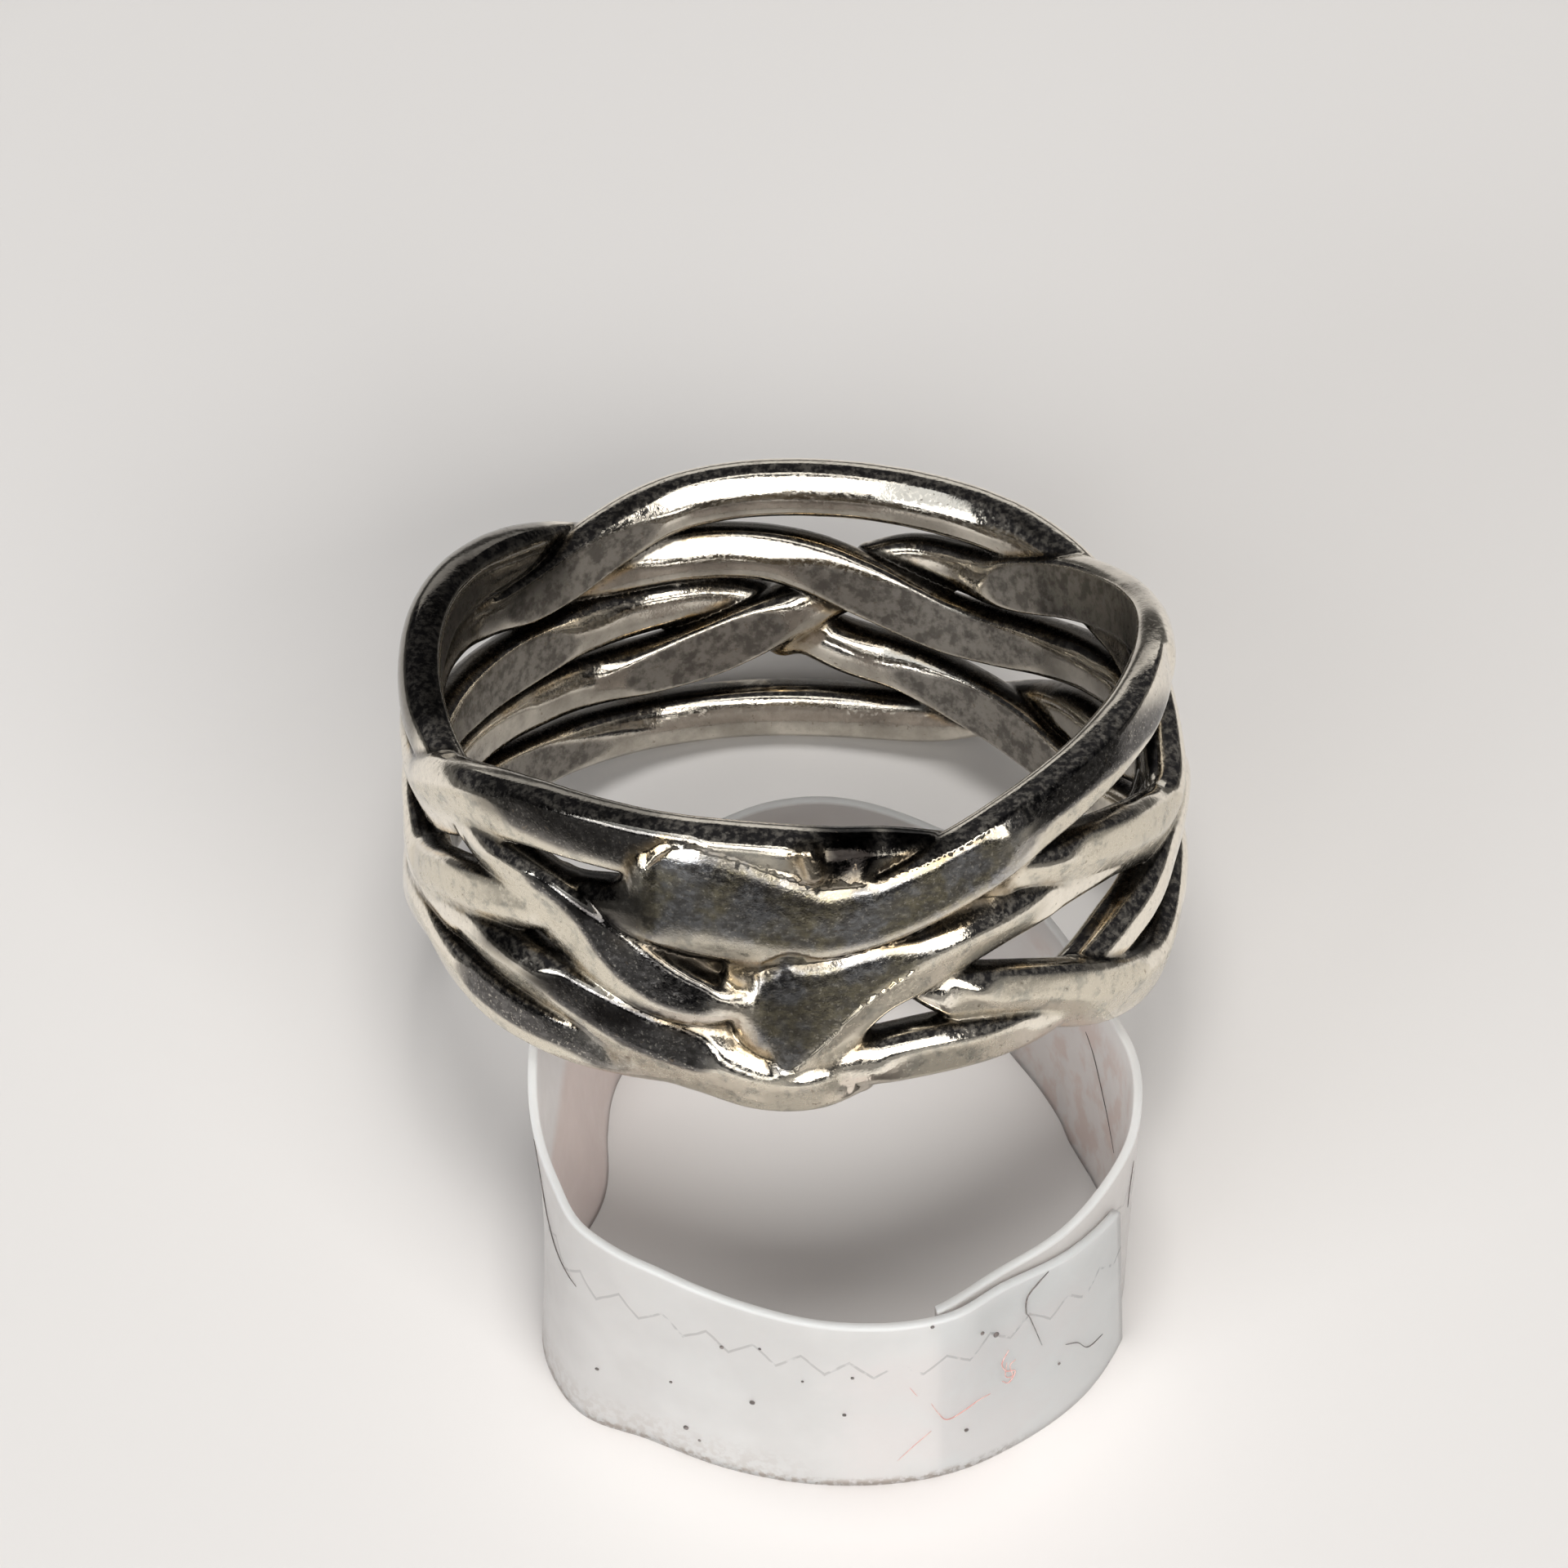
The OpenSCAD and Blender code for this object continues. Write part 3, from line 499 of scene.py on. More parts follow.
class Wire:
    """One silver wire: a look-up table of its middle, its directions and its section."""

    def __init__(self, name, rows, closed=False):
        rows = [(*row, 0, 0)[:TURN + 1] for row in rows]
        self.start = rows[0][ANGLE]
        self.end = rows[-1][ANGLE]
        self.closed = closed
        count = int(round((self.end - self.start) / LOOK_STEP)) + 1
        angles = np.linspace(self.start, self.end, count)
        self.step = (self.end - self.start) / (count - 1)
        v = table_values(rows, angles, closed)
        rad = np.radians(angles)
        out = np.stack([np.sin(rad), -np.cos(rad), np.zeros(count)], 1)
        middle = (BAND_R + v[:, OFFSET])[:, None] * out
        middle[:, 2] += v[:, HEIGHT]
        if closed:
            run = (np.roll(middle[:-1], -4, 0) - np.roll(middle[:-1], 4, 0)) / 8
            run = np.vstack([run, run[:1]])
        else:
            run = np.gradient(middle, axis=0)
        along = unit_rows(run)
        out = unit_rows(out - dot_rows(out, along)[:, None] * along)
        up = np.cross(out, along)
        turn = np.radians(v[:, TURN])
        half_thick = v[:, THICK] / 2
        half_wide = v[:, WIDE] / 2
        round_share = np.ones(count)
        for first, last in rows_of(name, WORN):
            round_share *= 1 - between(angles, first - 9, first + 2, last - 2, last + 9)
        half_inside = half_thick - EASE * round_share * ramp(half_thick, 0.4, 0.6)
        face_reach = half_thick + CLEAR
        face_tilt, painted_dark_mirror_share, clean_share = np.zeros((3, count))
        for first, last, depth, tilt, painted_dark_mirror in rows_of(name, FACES):
            share = between(angles, first, first + 8, last - 6, last)
            face_reach -= (CLEAR + depth) * share
            face_tilt += tilt * share
            painted_dark_mirror_share += painted_dark_mirror * share
            clean_share += (painted_dark_mirror == 0) * share
        power = WIRE_SQUARE / (WIRE_SQUARE - 1)
        edge_reach = ((half_inside * math.cos(EDGE_TURN)) ** power
                      + (half_wide * math.sin(EDGE_TURN)) ** power) ** (1 / power) + CLEAR
        for first, last, depth in rows_of(name, WORN_EDGES):
            edge_reach -= (CLEAR + depth) * between(angles, first, first + 14, last - 14, last)
        depth = np.maximum(0, v[:, FACET])
        pad_reach = np.hypot(np.cos(turn) * half_thick, np.sin(turn) * half_wide) - depth
        pad_reach = pad_reach + CLEAR * (1 - ramp(depth, 0.0, 0.05))
        speed = np.linalg.norm(run, axis=1) / self.step
        self.rows = np.column_stack([
            middle, along, out, up, half_thick, half_wide, np.cos(turn), np.sin(turn), pad_reach, speed,
            half_inside, face_reach, face_tilt, painted_dark_mirror_share, edge_reach, ramp(depth, 0.04, 0.1),
            clean_share,
        ])
        self.heights = v[:, HEIGHT]

    def look(self, angles):
        x = np.clip((angles - self.start) / self.step, 0, len(self.rows) - 1.001)
        i = x.astype(np.int32)
        w = (x - i)[:, None]
        return self.rows[i] * (1 - w) + self.rows[i + 1] * w

    def turns(self, angles):
        """The points' angles with whole turns added, once for each time the wire passes them."""
        if self.closed:
            yield self.start + (angles - self.start) % 360
            return
        turned = self.start - END_REACH + (angles - self.start + END_REACH) % 360
        while turned.min() <= self.end + END_REACH:
            yield turned
            turned = turned + 360

    def distance(self, points, angles):
        """Signed distance to the wire's surface: true near it, FAR where it isn't near."""
        best = np.full(len(points), FAR)
        for turned in self.turns(angles):
            row = np.clip((turned - self.start) / self.step, 0, len(self.rows) - 1).astype(np.int32)
            near = np.abs(points[:, 2] - self.heights[row]) < SIDE_REACH
            near &= turned <= self.end + END_REACH
            pick = np.nonzero(near)[0]
            if len(pick):
                best[pick] = np.minimum(best[pick], self.section_distance(points[pick], turned[pick]))
        return best

    def place_in_section(self, points, angles):
        """The wire's row beside each point, and the point's place out from, up from and past the wire."""
        for _ in range(2):
            row = self.look(angles)
            angles = angles + dot_rows(points - row[:, MIDDLE], row[:, ALONG]) / row[:, SPEED]
            if self.closed:
                angles = self.start + (angles - self.start) % 360
        row = self.look(angles)
        q = points - row[:, MIDDLE]
        past_end = (angles <= self.start) | (angles >= self.end)
        z = np.where(past_end & (not self.closed), dot_rows(q, row[:, ALONG]), 0)
        return row, dot_rows(q, row[:, OUT]), dot_rows(q, row[:, UP]), z

    def section_distance(self, points, angles):
        row, x, y, z = self.place_in_section(points, angles)
        half_x = np.where(x < 0, row[:, HALF_INSIDE], row[:, HALF_THICK])
        half_y = row[:, HALF_WIDE]
        half_z = np.minimum(half_x, half_y)
        n = WIRE_SQUARE
        gx, gy, gz = np.abs(x) / half_x, np.abs(y) / half_y, np.abs(z) / half_z
        f = np.maximum(gx**n + gy**n + gz**n, 1e-9) ** (1 / n)
        slope = np.sqrt((gx ** (n - 1) / half_x) ** 2 + (gy ** (n - 1) / half_y) ** 2
                        + (gz ** (n - 1) / half_z) ** 2) * f ** (1 - n)
        d = np.where(f < 0.25, -0.5, (f - 1) / np.maximum(slope, 1e-6))
        pad, face = self.cuts(row, x, y)
        edge = y * math.sin(EDGE_TURN) - x * math.cos(EDGE_TURN) - row[:, EDGE_REACH]
        for cut in (pad, face, edge):
            d = smooth_max(d, cut, RIM_FILLET)
        return d

    def cuts(self, row, x, y):
        """How far places in the section stand outside the wire's pad and outside its hammered face."""
        pad = x * row[:, TURN_COS] - y * row[:, TURN_SIN] - row[:, PAD_REACH]
        return pad, x + row[:, FACE_TILT] * y - row[:, FACE_REACH]

    def cut_shares(self, points, angles):
        """For each point, 1 on the wire's face painted as a dark reflection and 0 elsewhere, and the same
        for its polished pad.
        """
        faces = np.zeros(len(points))
        pads = np.zeros(len(points))
        for turned in self.turns(angles):
            row, x, y, _ = self.place_in_section(points, turned)
            here = (np.abs(y) < row[:, HALF_WIDE]) & (turned > self.start) & (turned < self.end)
            pad, face = self.cuts(row, x, y)
            on_face = between(face, -0.07, -0.02, 0.04, 0.10) * here
            on_pad = between(pad, -0.09, -0.02, 0.04, 0.10) * here
            faces = np.maximum(faces, row[:, PAINTED_DARK_MIRROR] * on_face)
            pads = np.maximum(pads, np.maximum(row[:, POLISHED] * on_pad, row[:, CLEAN] * on_face))
        return faces, pads


WIRES = (
    Wire("CROWN", CROWN, closed=True), Wire("SHOULDER", SHOULDER), Wire("SASH", SASH),
    Wire("FOOT", FOOT), Wire("BASE", BASE, closed=True), Wire("RIM", RIM),
)
HAMMERED = (Wire("PLATE", PLATE), Wire("WEDGE", WEDGE))


def band_point(angle, height, offset):
    a = math.radians(angle)
    r = BAND_R + offset
    return np.array([r * math.sin(a), -r * math.cos(a), height])


def seam_distance(points, seam):
    angle, height, last_angle, last_height, radius, offset = seam
    a = band_point(angle, height, offset)
    b = band_point(last_angle, last_height, offset)
    t = np.clip(((points - a) @ (b - a)) / ((b - a) @ (b - a)), 0, 1)
    return np.linalg.norm(points - a - t[:, None] * (b - a), axis=1) - radius


def solder_distance(points):
    return np.minimum.reduce([seam_distance(points, seam) for seam in SOLDER])


def hammered_distance(points, angles):
    return np.minimum.reduce([patch.distance(points, angles) for patch in HAMMERED])


def hammered_face(points, angles):
    """How far each point stands outside the hammered faces, and the share of each face at the point."""
    radius = radius_of(points)
    outside = np.full(len(points), -FAR)
    share = np.zeros(len(points))
    for patch, (first, soft) in zip(HAMMERED, FACE_STARTS):
        pick = (angles > first) & (angles < patch.end)
        row = patch.look(angles)
        x, y, height = row[:, MIDDLE].T
        up = (points[:, 2] - height) / row[:, HALF_WIDE]
        top = np.hypot(x, y) + row[:, HALF_THICK] - FACE_DEPTH
        here = ramp(1.25 - np.abs(up), 0, 0.25) * pick
        tail = ramp(patch.end - angles, 0, 12) * ramp(angles - first, 0, soft)
        face = radius - top + FACE_LEAN * (points[:, 2] - height)
        cut = face - 0.5 * (1 - here) - (1 - tail)
        outside = np.maximum(outside, np.where(here > 0, cut, -FAR))
        share = np.maximum(share, here * tail * ramp(face, -0.12, -0.03))
    return outside, share


def angles_of(points):
    return np.degrees(np.arctan2(points[:, 0], -points[:, 1]))


def band_distance(points):
    """Signed distance to the whole band, in the ring's own frame."""
    angles = angles_of(points)
    total = np.full(len(points), FAR)
    for wire in WIRES:
        total = smooth_min(total, wire.distance(points, angles), WIRE_FILLET)
    total = smooth_min(total, solder_distance(points), SOLDER_FILLET)
    total = smooth_min(total, hammered_distance(points, angles), HAMMER_FILLET)
    total = smooth_max(total, hammered_face(points, angles)[0], HAMMER_FILLET)
    return smooth_max(total, BORE_R - radius_of(points), RIM_FILLET)


def lumps(points, size, seed):
    """Smooth noise from -1 to 1, with bumps about as wide as the given size."""
    lattice = np.random.default_rng(seed).uniform(-1, 1, (LATTICE, LATTICE, LATTICE))
    place = points / size
    cell = np.floor(place).astype(int)
    share = place - cell
    share = share * share * (3 - 2 * share)
    total = np.zeros(len(points))
    for corner in np.ndindex(2, 2, 2):
        weight = np.prod(np.where(corner, share, 1 - share), axis=1)
        total += weight * lattice[tuple(((cell + corner) % LATTICE).T)]
    return total


def worn_distance(points):
    """The band's distance with its dents: shallow on the wires, and lumpy where solder was melted on."""
    angles = angles_of(points)
    smooth = hammered_face(points, angles)[1]
    melted = (1 - ramp(solder_distance(points), 0.0, 0.4)) * (1 - smooth)
    melted = melted * ramp(hammered_distance(points, angles), 0.1, 0.6)
    flat = 1 - ramp(radius_of(points), BORE_R, BORE_R + 0.1)
    dents = DENT * sum(share * lumps(points, size, seed) for size, seed, share in DENT_NOISE)
    solder = MELT * sum(share * lumps(points, size, seed) for size, seed, share in MELT_NOISE)
    return band_distance(points) + (dents + melted * solder) * (1 - flat)


def in_chunks(function, points, size=300000):
    return np.concatenate([function(points[i:i + size]) for i in range(0, len(points), size)])


def gradient(function, points, reach=0.012):
    """Unit gradient of a field, from four samples round each point."""
    corners = np.array([[1, -1, -1], [-1, -1, 1], [-1, 1, -1], [1, 1, 1]], float)
    total = sum(in_chunks(function, points + c * reach)[:, None] * c for c in corners)
    return unit_rows(total)


def surface_net(field, low, step):
    """Quads over the zero surface of a grid of values, with a corner in each cell that it crosses."""
    inside = field < 0
    size = np.array(field.shape) - 1
    count = np.zeros(size, np.int8)
    for corner in np.ndindex(2, 2, 2):
        count += inside[tuple(slice(c, c + s) for c, s in zip(corner, size))]
    active = (count > 0) & (count < 8)
    cells = np.argwhere(active)
    index = np.full(size, -1, np.int32)
    index[active] = np.arange(len(cells))
    total = np.zeros((len(cells), 3))
    hits = np.zeros(len(cells))
    quads = []
    for axis in range(3):
        side = [o for o in range(3) if o != axis]
        for shift in np.ndindex(2, 2):
            near = cells.copy()
            near[:, side] += shift
            far = near.copy()
            far[:, axis] += 1
            f0 = field[tuple(near.T)]
            f1 = field[tuple(far.T)]
            crossed = (f0 < 0) != (f1 < 0)
            point = near.astype(float)
            point[:, axis] += np.where(crossed, f0 / np.where(crossed, f0 - f1, 1), 0)
            total += point * crossed[:, None]
            hits += crossed
        before = np.take(inside, np.arange(field.shape[axis] - 1), axis)
        after = np.take(inside, np.arange(1, field.shape[axis]), axis)
        edges = np.argwhere(before != after)
        edges = edges[((edges[:, side] > 0) & (edges[:, side] < size[side])).all(1)]
        quad = []
        for shift in ((0, 0), (-1, 0), (-1, -1), (0, -1)):
            cell = edges.copy()
            cell[:, side] += shift
            quad.append(index[tuple(cell.T)])
        quad = np.stack(quad, 1)
        turned = before[tuple(edges.T)] != (axis == 1)
        quad[~turned] = quad[~turned][:, ::-1]
        quads.append(quad)
    return low + step * total / hits[:, None], np.concatenate(quads)


# Distances in front of a point at which silver is looked for, and the weight of each
PROBES = ((0.2, 0.2), (0.45, 0.4), (0.9, 0.4))


def hidden_share(points, normals):
    """How much silver stands close in front of each point: 0 in the open, near 1 deep in a gap."""
    total = np.zeros(len(points))
    for reach, weight in PROBES:
        free = in_chunks(band_distance, points + normals * reach)
        total += weight * (1 - np.clip(free / reach, 0, 1))
    return total


def band_surface(step):
    """Points and quads of the band, drawn from its distance field and settled on its true surface."""
    low = np.array(GRID_LOW)
    count = np.ceil((np.array(GRID_HIGH) - low) / step).astype(int) + 1
    field = np.full(count, FAR, np.float32)
    x, y, z = (low[i] + step * np.arange(count[i]) for i in range(3))
    radius = np.hypot(x[:, None], y[None, :])
    column = np.argwhere((radius > BORE_R - 2 * step) & (radius < OUTER_R))
    points = np.empty((len(column), count[2], 3))
    points[:, :, 0] = x[column[:, 0]][:, None]
    points[:, :, 1] = y[column[:, 1]][:, None]
    points[:, :, 2] = z
    values = in_chunks(band_distance, points.reshape(-1, 3))
    field[column[:, 0], column[:, 1]] = values.reshape(len(column), count[2])
    points, quads = surface_net(field, low, step)
    for _ in range(2):
        away = np.clip(in_chunks(worn_distance, points), -step / 2, step / 2)
        points = points - away[:, None] * gradient(worn_distance, points)
    return points, quads


def leaned(v):
    """Vectors of the ring's own frame, turned as the ring leans."""
    c, s = math.cos(LEAN), math.sin(LEAN)
    return np.stack([v[:, 0], v[:, 1] * c + v[:, 2] * s, v[:, 2] * c - v[:, 1] * s], 1)


def to_world(points):
    """From the ring's own frame, in mm, to the shared frame, in metres."""
    return (leaned(points) + RING_MIDDLE) * MM


def to_ring(points):
    """The way back from the shared frame to the ring's own."""
    c, s = math.cos(LEAN), math.sin(LEAN)
    p = points / MM - RING_MIDDLE
    return np.stack([p[:, 0], p[:, 1] * c - p[:, 2] * s, p[:, 1] * s + p[:, 2] * c], 1)


def quads_between(index, side):
    """Quads from each row of point numbers to the next. Side is -1 or 1, and turns them over."""
    here = index[:-1]
    there = index[1:]
    if side > 0:
        return np.stack([here, np.roll(here, -1, 1), np.roll(there, -1, 1), there], 2).reshape(-1, 4)
    return np.stack([here, there, np.roll(there, -1, 1), np.roll(here, -1, 1)], 2).reshape(-1, 4)


def new_mesh(name, points, faces):
    """An object from arrays of points and of faces that all have the same number of corners."""
    mesh = bpy.data.meshes.new(name)
    sides = faces.shape[1]
    mesh.vertices.add(len(points))
    mesh.vertices.foreach_set("co", np.ascontiguousarray(points, np.float32).ravel())
    mesh.loops.add(faces.size)
    mesh.loops.foreach_set("vertex_index", np.ascontiguousarray(faces, np.int32).ravel())
    mesh.polygons.add(len(faces))
    mesh.polygons.foreach_set("loop_start", np.arange(0, faces.size, sides, dtype=np.int32))
    mesh.update(calc_edges=True)
    mesh.polygons.foreach_set("use_smooth", np.ones(len(faces), bool))
    piece = bpy.data.objects.new(name, mesh)
    bpy.context.scene.collection.objects.link(piece)
    return piece


def mesh_points(mesh):
    co = np.empty(len(mesh.vertices) * 3, np.float32)
    mesh.vertices.foreach_get("co", co)
    return co.reshape(-1, 3).astype(float)


def thin_out(piece, most):
    """Merge the flattest faces until the piece has no more triangles than it may keep."""
    triangles = 2 * len(piece.data.polygons)
    if triangles <= most:
        return
    fewer = piece.modifiers.new("fewer", "DECIMATE")
    fewer.ratio = most / triangles
    fewer.use_collapse_triangulate = True
    shown = piece.evaluated_get(bpy.context.evaluated_depsgraph_get())
    mesh = bpy.data.meshes.new_from_object(shown)
    piece.modifiers.clear()
    piece.data = mesh


def set_masks(mesh, **masks):
    """Values for each point of a mesh, which its material reads by name."""
    for name, values in masks.items():
        layer = mesh.attributes.new(name, "FLOAT", "POINT")
        layer.data.foreach_set("value", np.ascontiguousarray(values, np.float32))


def grime_share(points):
    """Painted shade over the places in the table, darkening their highlights and lit silver."""
    total = np.zeros(len(points))
    radius = radius_of(points)
    for first, last, low, high, share, most in PAINTED_SHADE:
        angles = first + (angles_of(points) - first + 30) % 360 - 30
        across = np.minimum(angles - first, last - angles) * math.radians(1) * BAND_R
        up = np.minimum(points[:, 2] - low, high - points[:, 2])
        share = share * (1 - ramp(radius, most - 0.2, most))
        total = np.maximum(total, share * ramp(across, -0.4, 0.6) * ramp(up, -0.25, 0.35))
    return total


# Radii between which the band's inside ends, and its faces painted as dark reflections and its polished pads
# begin
INNER_ENDS = (9.9, 10.3)
LEAF_BEGINS = (10.6, 10.8)
PAD_BEGINS = (10.5, 10.7)


def make_band():
    points, quads = band_surface(CELL)
    piece = new_mesh("silver_band", to_world(points), quads)
    thin_out(piece, BAND_TRIANGLES)
    mesh = piece.data
    points = to_ring(mesh_points(mesh))
    normals = gradient(worn_distance, points)
    hidden = hidden_share(points, normals)
    # Painted highlight: faces tilted up into the lamps' highlight, where the inside's tarnish is lifted
    painted_highlight_band = ramp(normals[:, 2], 0.12, 0.36) * ramp(0.75 - normals[:, 2], 0.0, 0.25)
    mesh.normals_split_custom_set_from_vertices(leaned(normals).astype(np.float32))
    angles = angles_of(points)
    near = [w.distance(points, angles) for w in WIRES] + [solder_distance(points)]
    near = np.sort(np.stack(near), axis=0)
    radius = radius_of(points)
    face = hammered_face(points, angles)[1]
    leaf, pad = np.max([w.cut_shares(points, angles) for w in WIRES], axis=0)
    # Among these masks: the painted shade of the dark places, the wire faces painted as a dark reflection,
    # and the inside's tarnish, lifted by a painted highlight
    set_masks(
        mesh, hidden=hidden, face=face, grime=grime_share(points),
        crevice=(1 - ramp(near[1], 0.0, 0.25)) * ramp(hidden, 0.03, 0.14),
        flat=1 - ramp(radius, BORE_R + 0.006, BORE_R + 0.03),
        inner=(1 - ramp(radius, *INNER_ENDS)) * (1 - 0.7 * painted_highlight_band),
        leaf=leaf * ramp(radius, *LEAF_BEGINS) * (1 - face),
        pad=pad * ramp(radius, *PAD_BEGINS) * (1 - face) * (1 - leaf),
        solder=(1 - ramp(solder_distance(points), 0.0, 0.4)) * (1 - face),
    )
    return piece


# The strip

# Degrees between two sections of the strip, and shares of its height at which each has points
STRIP_STEP = 1.5
STRIP_SHARES = (0, 0.01, 0.04, 0.12, 0.22, 0.33, 0.44, 0.55, 0.66, 0.77, 0.86, 0.93, 0.97, 0.985, 0.993)


def strip_place(columns, share, side):
    """Points of the strip at a share of its height. Side is -1 inside, 1 outside and 0 in the middle."""
    angle, foot, edge, height, layer = columns.T
    lap = layer * (STRIP_T + LAP_GAP)
    radius = foot + (edge - foot) * share + lap + side * STRIP_T / 2
    a = np.radians(angle)
    x = RING_MIDDLE[0] + LOOP_X + radius * np.sin(a)
    y = RING_MIDDLE[1] + LOOP_Y - radius * np.cos(a)
    return np.stack([x, y, (height - SEAT_GAP) * share], 1)


def make_strip():
    count = int(round((STRIP[-1][0] - STRIP[0][0]) / STRIP_STEP)) + 1
    columns = table_values(STRIP, np.linspace(STRIP[0][0], STRIP[-1][0], count))
    # Each point round a section: its share of the height, its side of the wall, and 1 if it is inside
    around = [(s, 1, 0) for s in STRIP_SHARES] + [(1, 0.7, 0), (1, -0.7, 1)]
    around += [(s, -1, 1) for s in STRIP_SHARES[::-1]]
    rows = np.stack([strip_place(columns, s, side) for s, side, _ in around], 1)
    shares, _, inside = np.array(around, float).T
    sides = rows.shape[1]
    middle = strip_place(columns, 0.5, 0)
    along = np.concatenate([[0], np.cumsum(np.linalg.norm(np.diff(middle, axis=0), axis=1))])
    index = np.arange(count * sides).reshape(count, sides)
    half = sides // 2
    caps = []
    for cap, flip in ((index[0], True), (index[-1], False)):
        left = cap[:half]
        right = cap[::-1][:half]
        quad = np.stack([left[:-1], left[1:], right[1:], right[:-1]], 1)
        caps.append(quad[:, ::-1] if flip else quad)
    faces = np.concatenate([quads_between(index, 1)] + caps)
    piece = new_mesh("plastic_strip", rows.reshape(-1, 3) * MM, faces)
    mesh = piece.data
    below = (1 - shares)[None, :] * (columns[:, 3] - SEAT_GAP)[:, None]
    set_masks(
        mesh, below=below.ravel(), cut_edge=np.tile(ramp(shares, 0.990, 0.998), count),
        share=np.tile(shares, count), inside=np.tile(inside, count),
        along=np.repeat(along, sides), angle=np.repeat(columns[:, 0], sides),
    )
    mesh.validate()
    return piece


# Hairs and fibres on the strip: thickness in mm, side of the wall, then angles and shares of the height
DARK_HAIRS = (
    (0.045, 1, ((399.5, 0.985), (397, 0.94), (394.8, 0.886), (394.4, 0.8), (395.2, 0.743), (397.2, 0.543))),
    (0.038, 1, ((402.2, 0.45), (405, 0.4), (407.5, 0.307), (411.8, 0.279))),
    (0.034, 1, ((69.8, 0.864), (68.2, 0.75), (67.2, 0.621))),
    (0.04, 1, ((288.2, 0.943), (292.2, 0.871), (299.8, 0.757), (307.2, 0.707), (311.8, 0.679))),
    (0.034, -1, ((112, 0.72), (105.5, 0.657), (97, 0.52), (88, 0.379))),
)
RED_FIBRES = (
    (0.04, 1, ((390.5, 0.62), (389, 0.56), (389.8, 0.5), (391.6, 0.47), (390.2, 0.42), (388.9, 0.45))),
    (0.032, 1, ((391.8, 0.54), (390.6, 0.52), (391, 0.45), (389.6, 0.47), (390, 0.55))),
    (0.034, 1, ((386.5, 0.414), (384, 0.41), (381.5, 0.386), (378.5, 0.364), (377, 0.42),
                (375.8, 0.493))),
    (0.028, 1, ((372.2, 0.621), (372.8, 0.59), (373.5, 0.557))),
    (0.026, 1, ((375.8, 0.314), (373, 0.24), (370.2, 0.15))),
)
# Specks of dirt on the strip: angle, share of height, size in mm
SPECKS = (
    (388, 0.764, 0.17), (385.2, 0.821, 0.12), (346, 0.457, 0.15), (334.5, 0.171, 0.15),
    (340.2, 0.736, 0.12), (347, 0.793, 0.09), (318.2, 0.314, 0.11), (331.2, 0.407, 0.09),
    (354.5, 0.65, 0.08), (362.8, 0.7, 0.1), (361.5, 0.464, 0.11), (337, 0.121, 0.09),
    (381.8, 0.257, 0.12), (400.5, 0.357, 0.09), (376, 0.985, 0.11),
)
# A speck's thickness for its size, and the degrees to each side that it reaches for its size in mm
SPECK_THICK = 0.8
SPECK_REACH = 3
# Corners of a hair's section, and how far its middle stands off the wall, in its thickness
HAIR_SIDES = 4
HAIR_SINK = 0.30


def hair_mesh(track, side, thickness):
    """Points and quads of one tapered hair that lies on the strip's wall."""
    track = np.array(track, float)
    knots = np.column_stack([np.arange(len(track)), track])
    steps = np.linspace(0, len(track) - 1, 6 * (len(track) - 1) + 1)
    angle, share = table_values(knots, steps)[:, 1:].T
    columns = table_values(STRIP, angle)
    wall = strip_place(columns, share, side)
    middle = strip_place(columns, share, side * (1 + 2 * HAIR_SINK * thickness / STRIP_T))
    out = unit_rows(middle - wall)
    along = unit_rows(np.gradient(middle, axis=0))
    across = unit_rows(np.cross(along, out))
    taper = np.sin(np.linspace(0.06, math.pi - 0.06, len(steps))) ** 0.4
    radius = thickness / 2 * (0.25 + 0.75 * taper)
    turns = 2 * math.pi * (np.arange(HAIR_SIDES) + 0.5) / HAIR_SIDES
    ring = np.cos(turns)[None, :, None] * across[:, None] + np.sin(turns)[None, :, None] * out[:, None]
    points = (middle[:, None] + radius[:, None, None] * ring).reshape(-1, 3)
    index = np.arange(len(points)).reshape(-1, HAIR_SIDES)
    return points, np.concatenate([quads_between(index, -1), index[:1], index[-1:, ::-1]])


def make_hairs(name, hairs):
    points = []
    quads = []
    count = 0
    for thickness, side, track in hairs:
        here, faces = hair_mesh(track, side, thickness)
        points.append(here)
        quads.append(faces + count)
        count += len(here)
    return new_mesh(name, np.concatenate(points) * MM, np.concatenate(quads))


def speck_hairs():
    """Each speck as a very short, thick hair."""
    for angle, share, size in SPECKS:
        reach = size * SPECK_REACH
        yield size * SPECK_THICK, 1, ((angle - reach, share), (angle + reach, share))


# Materials

# Sockets of Blender's mix node that carry colours
COLOUR_A = 6
COLOUR_OUT = 2


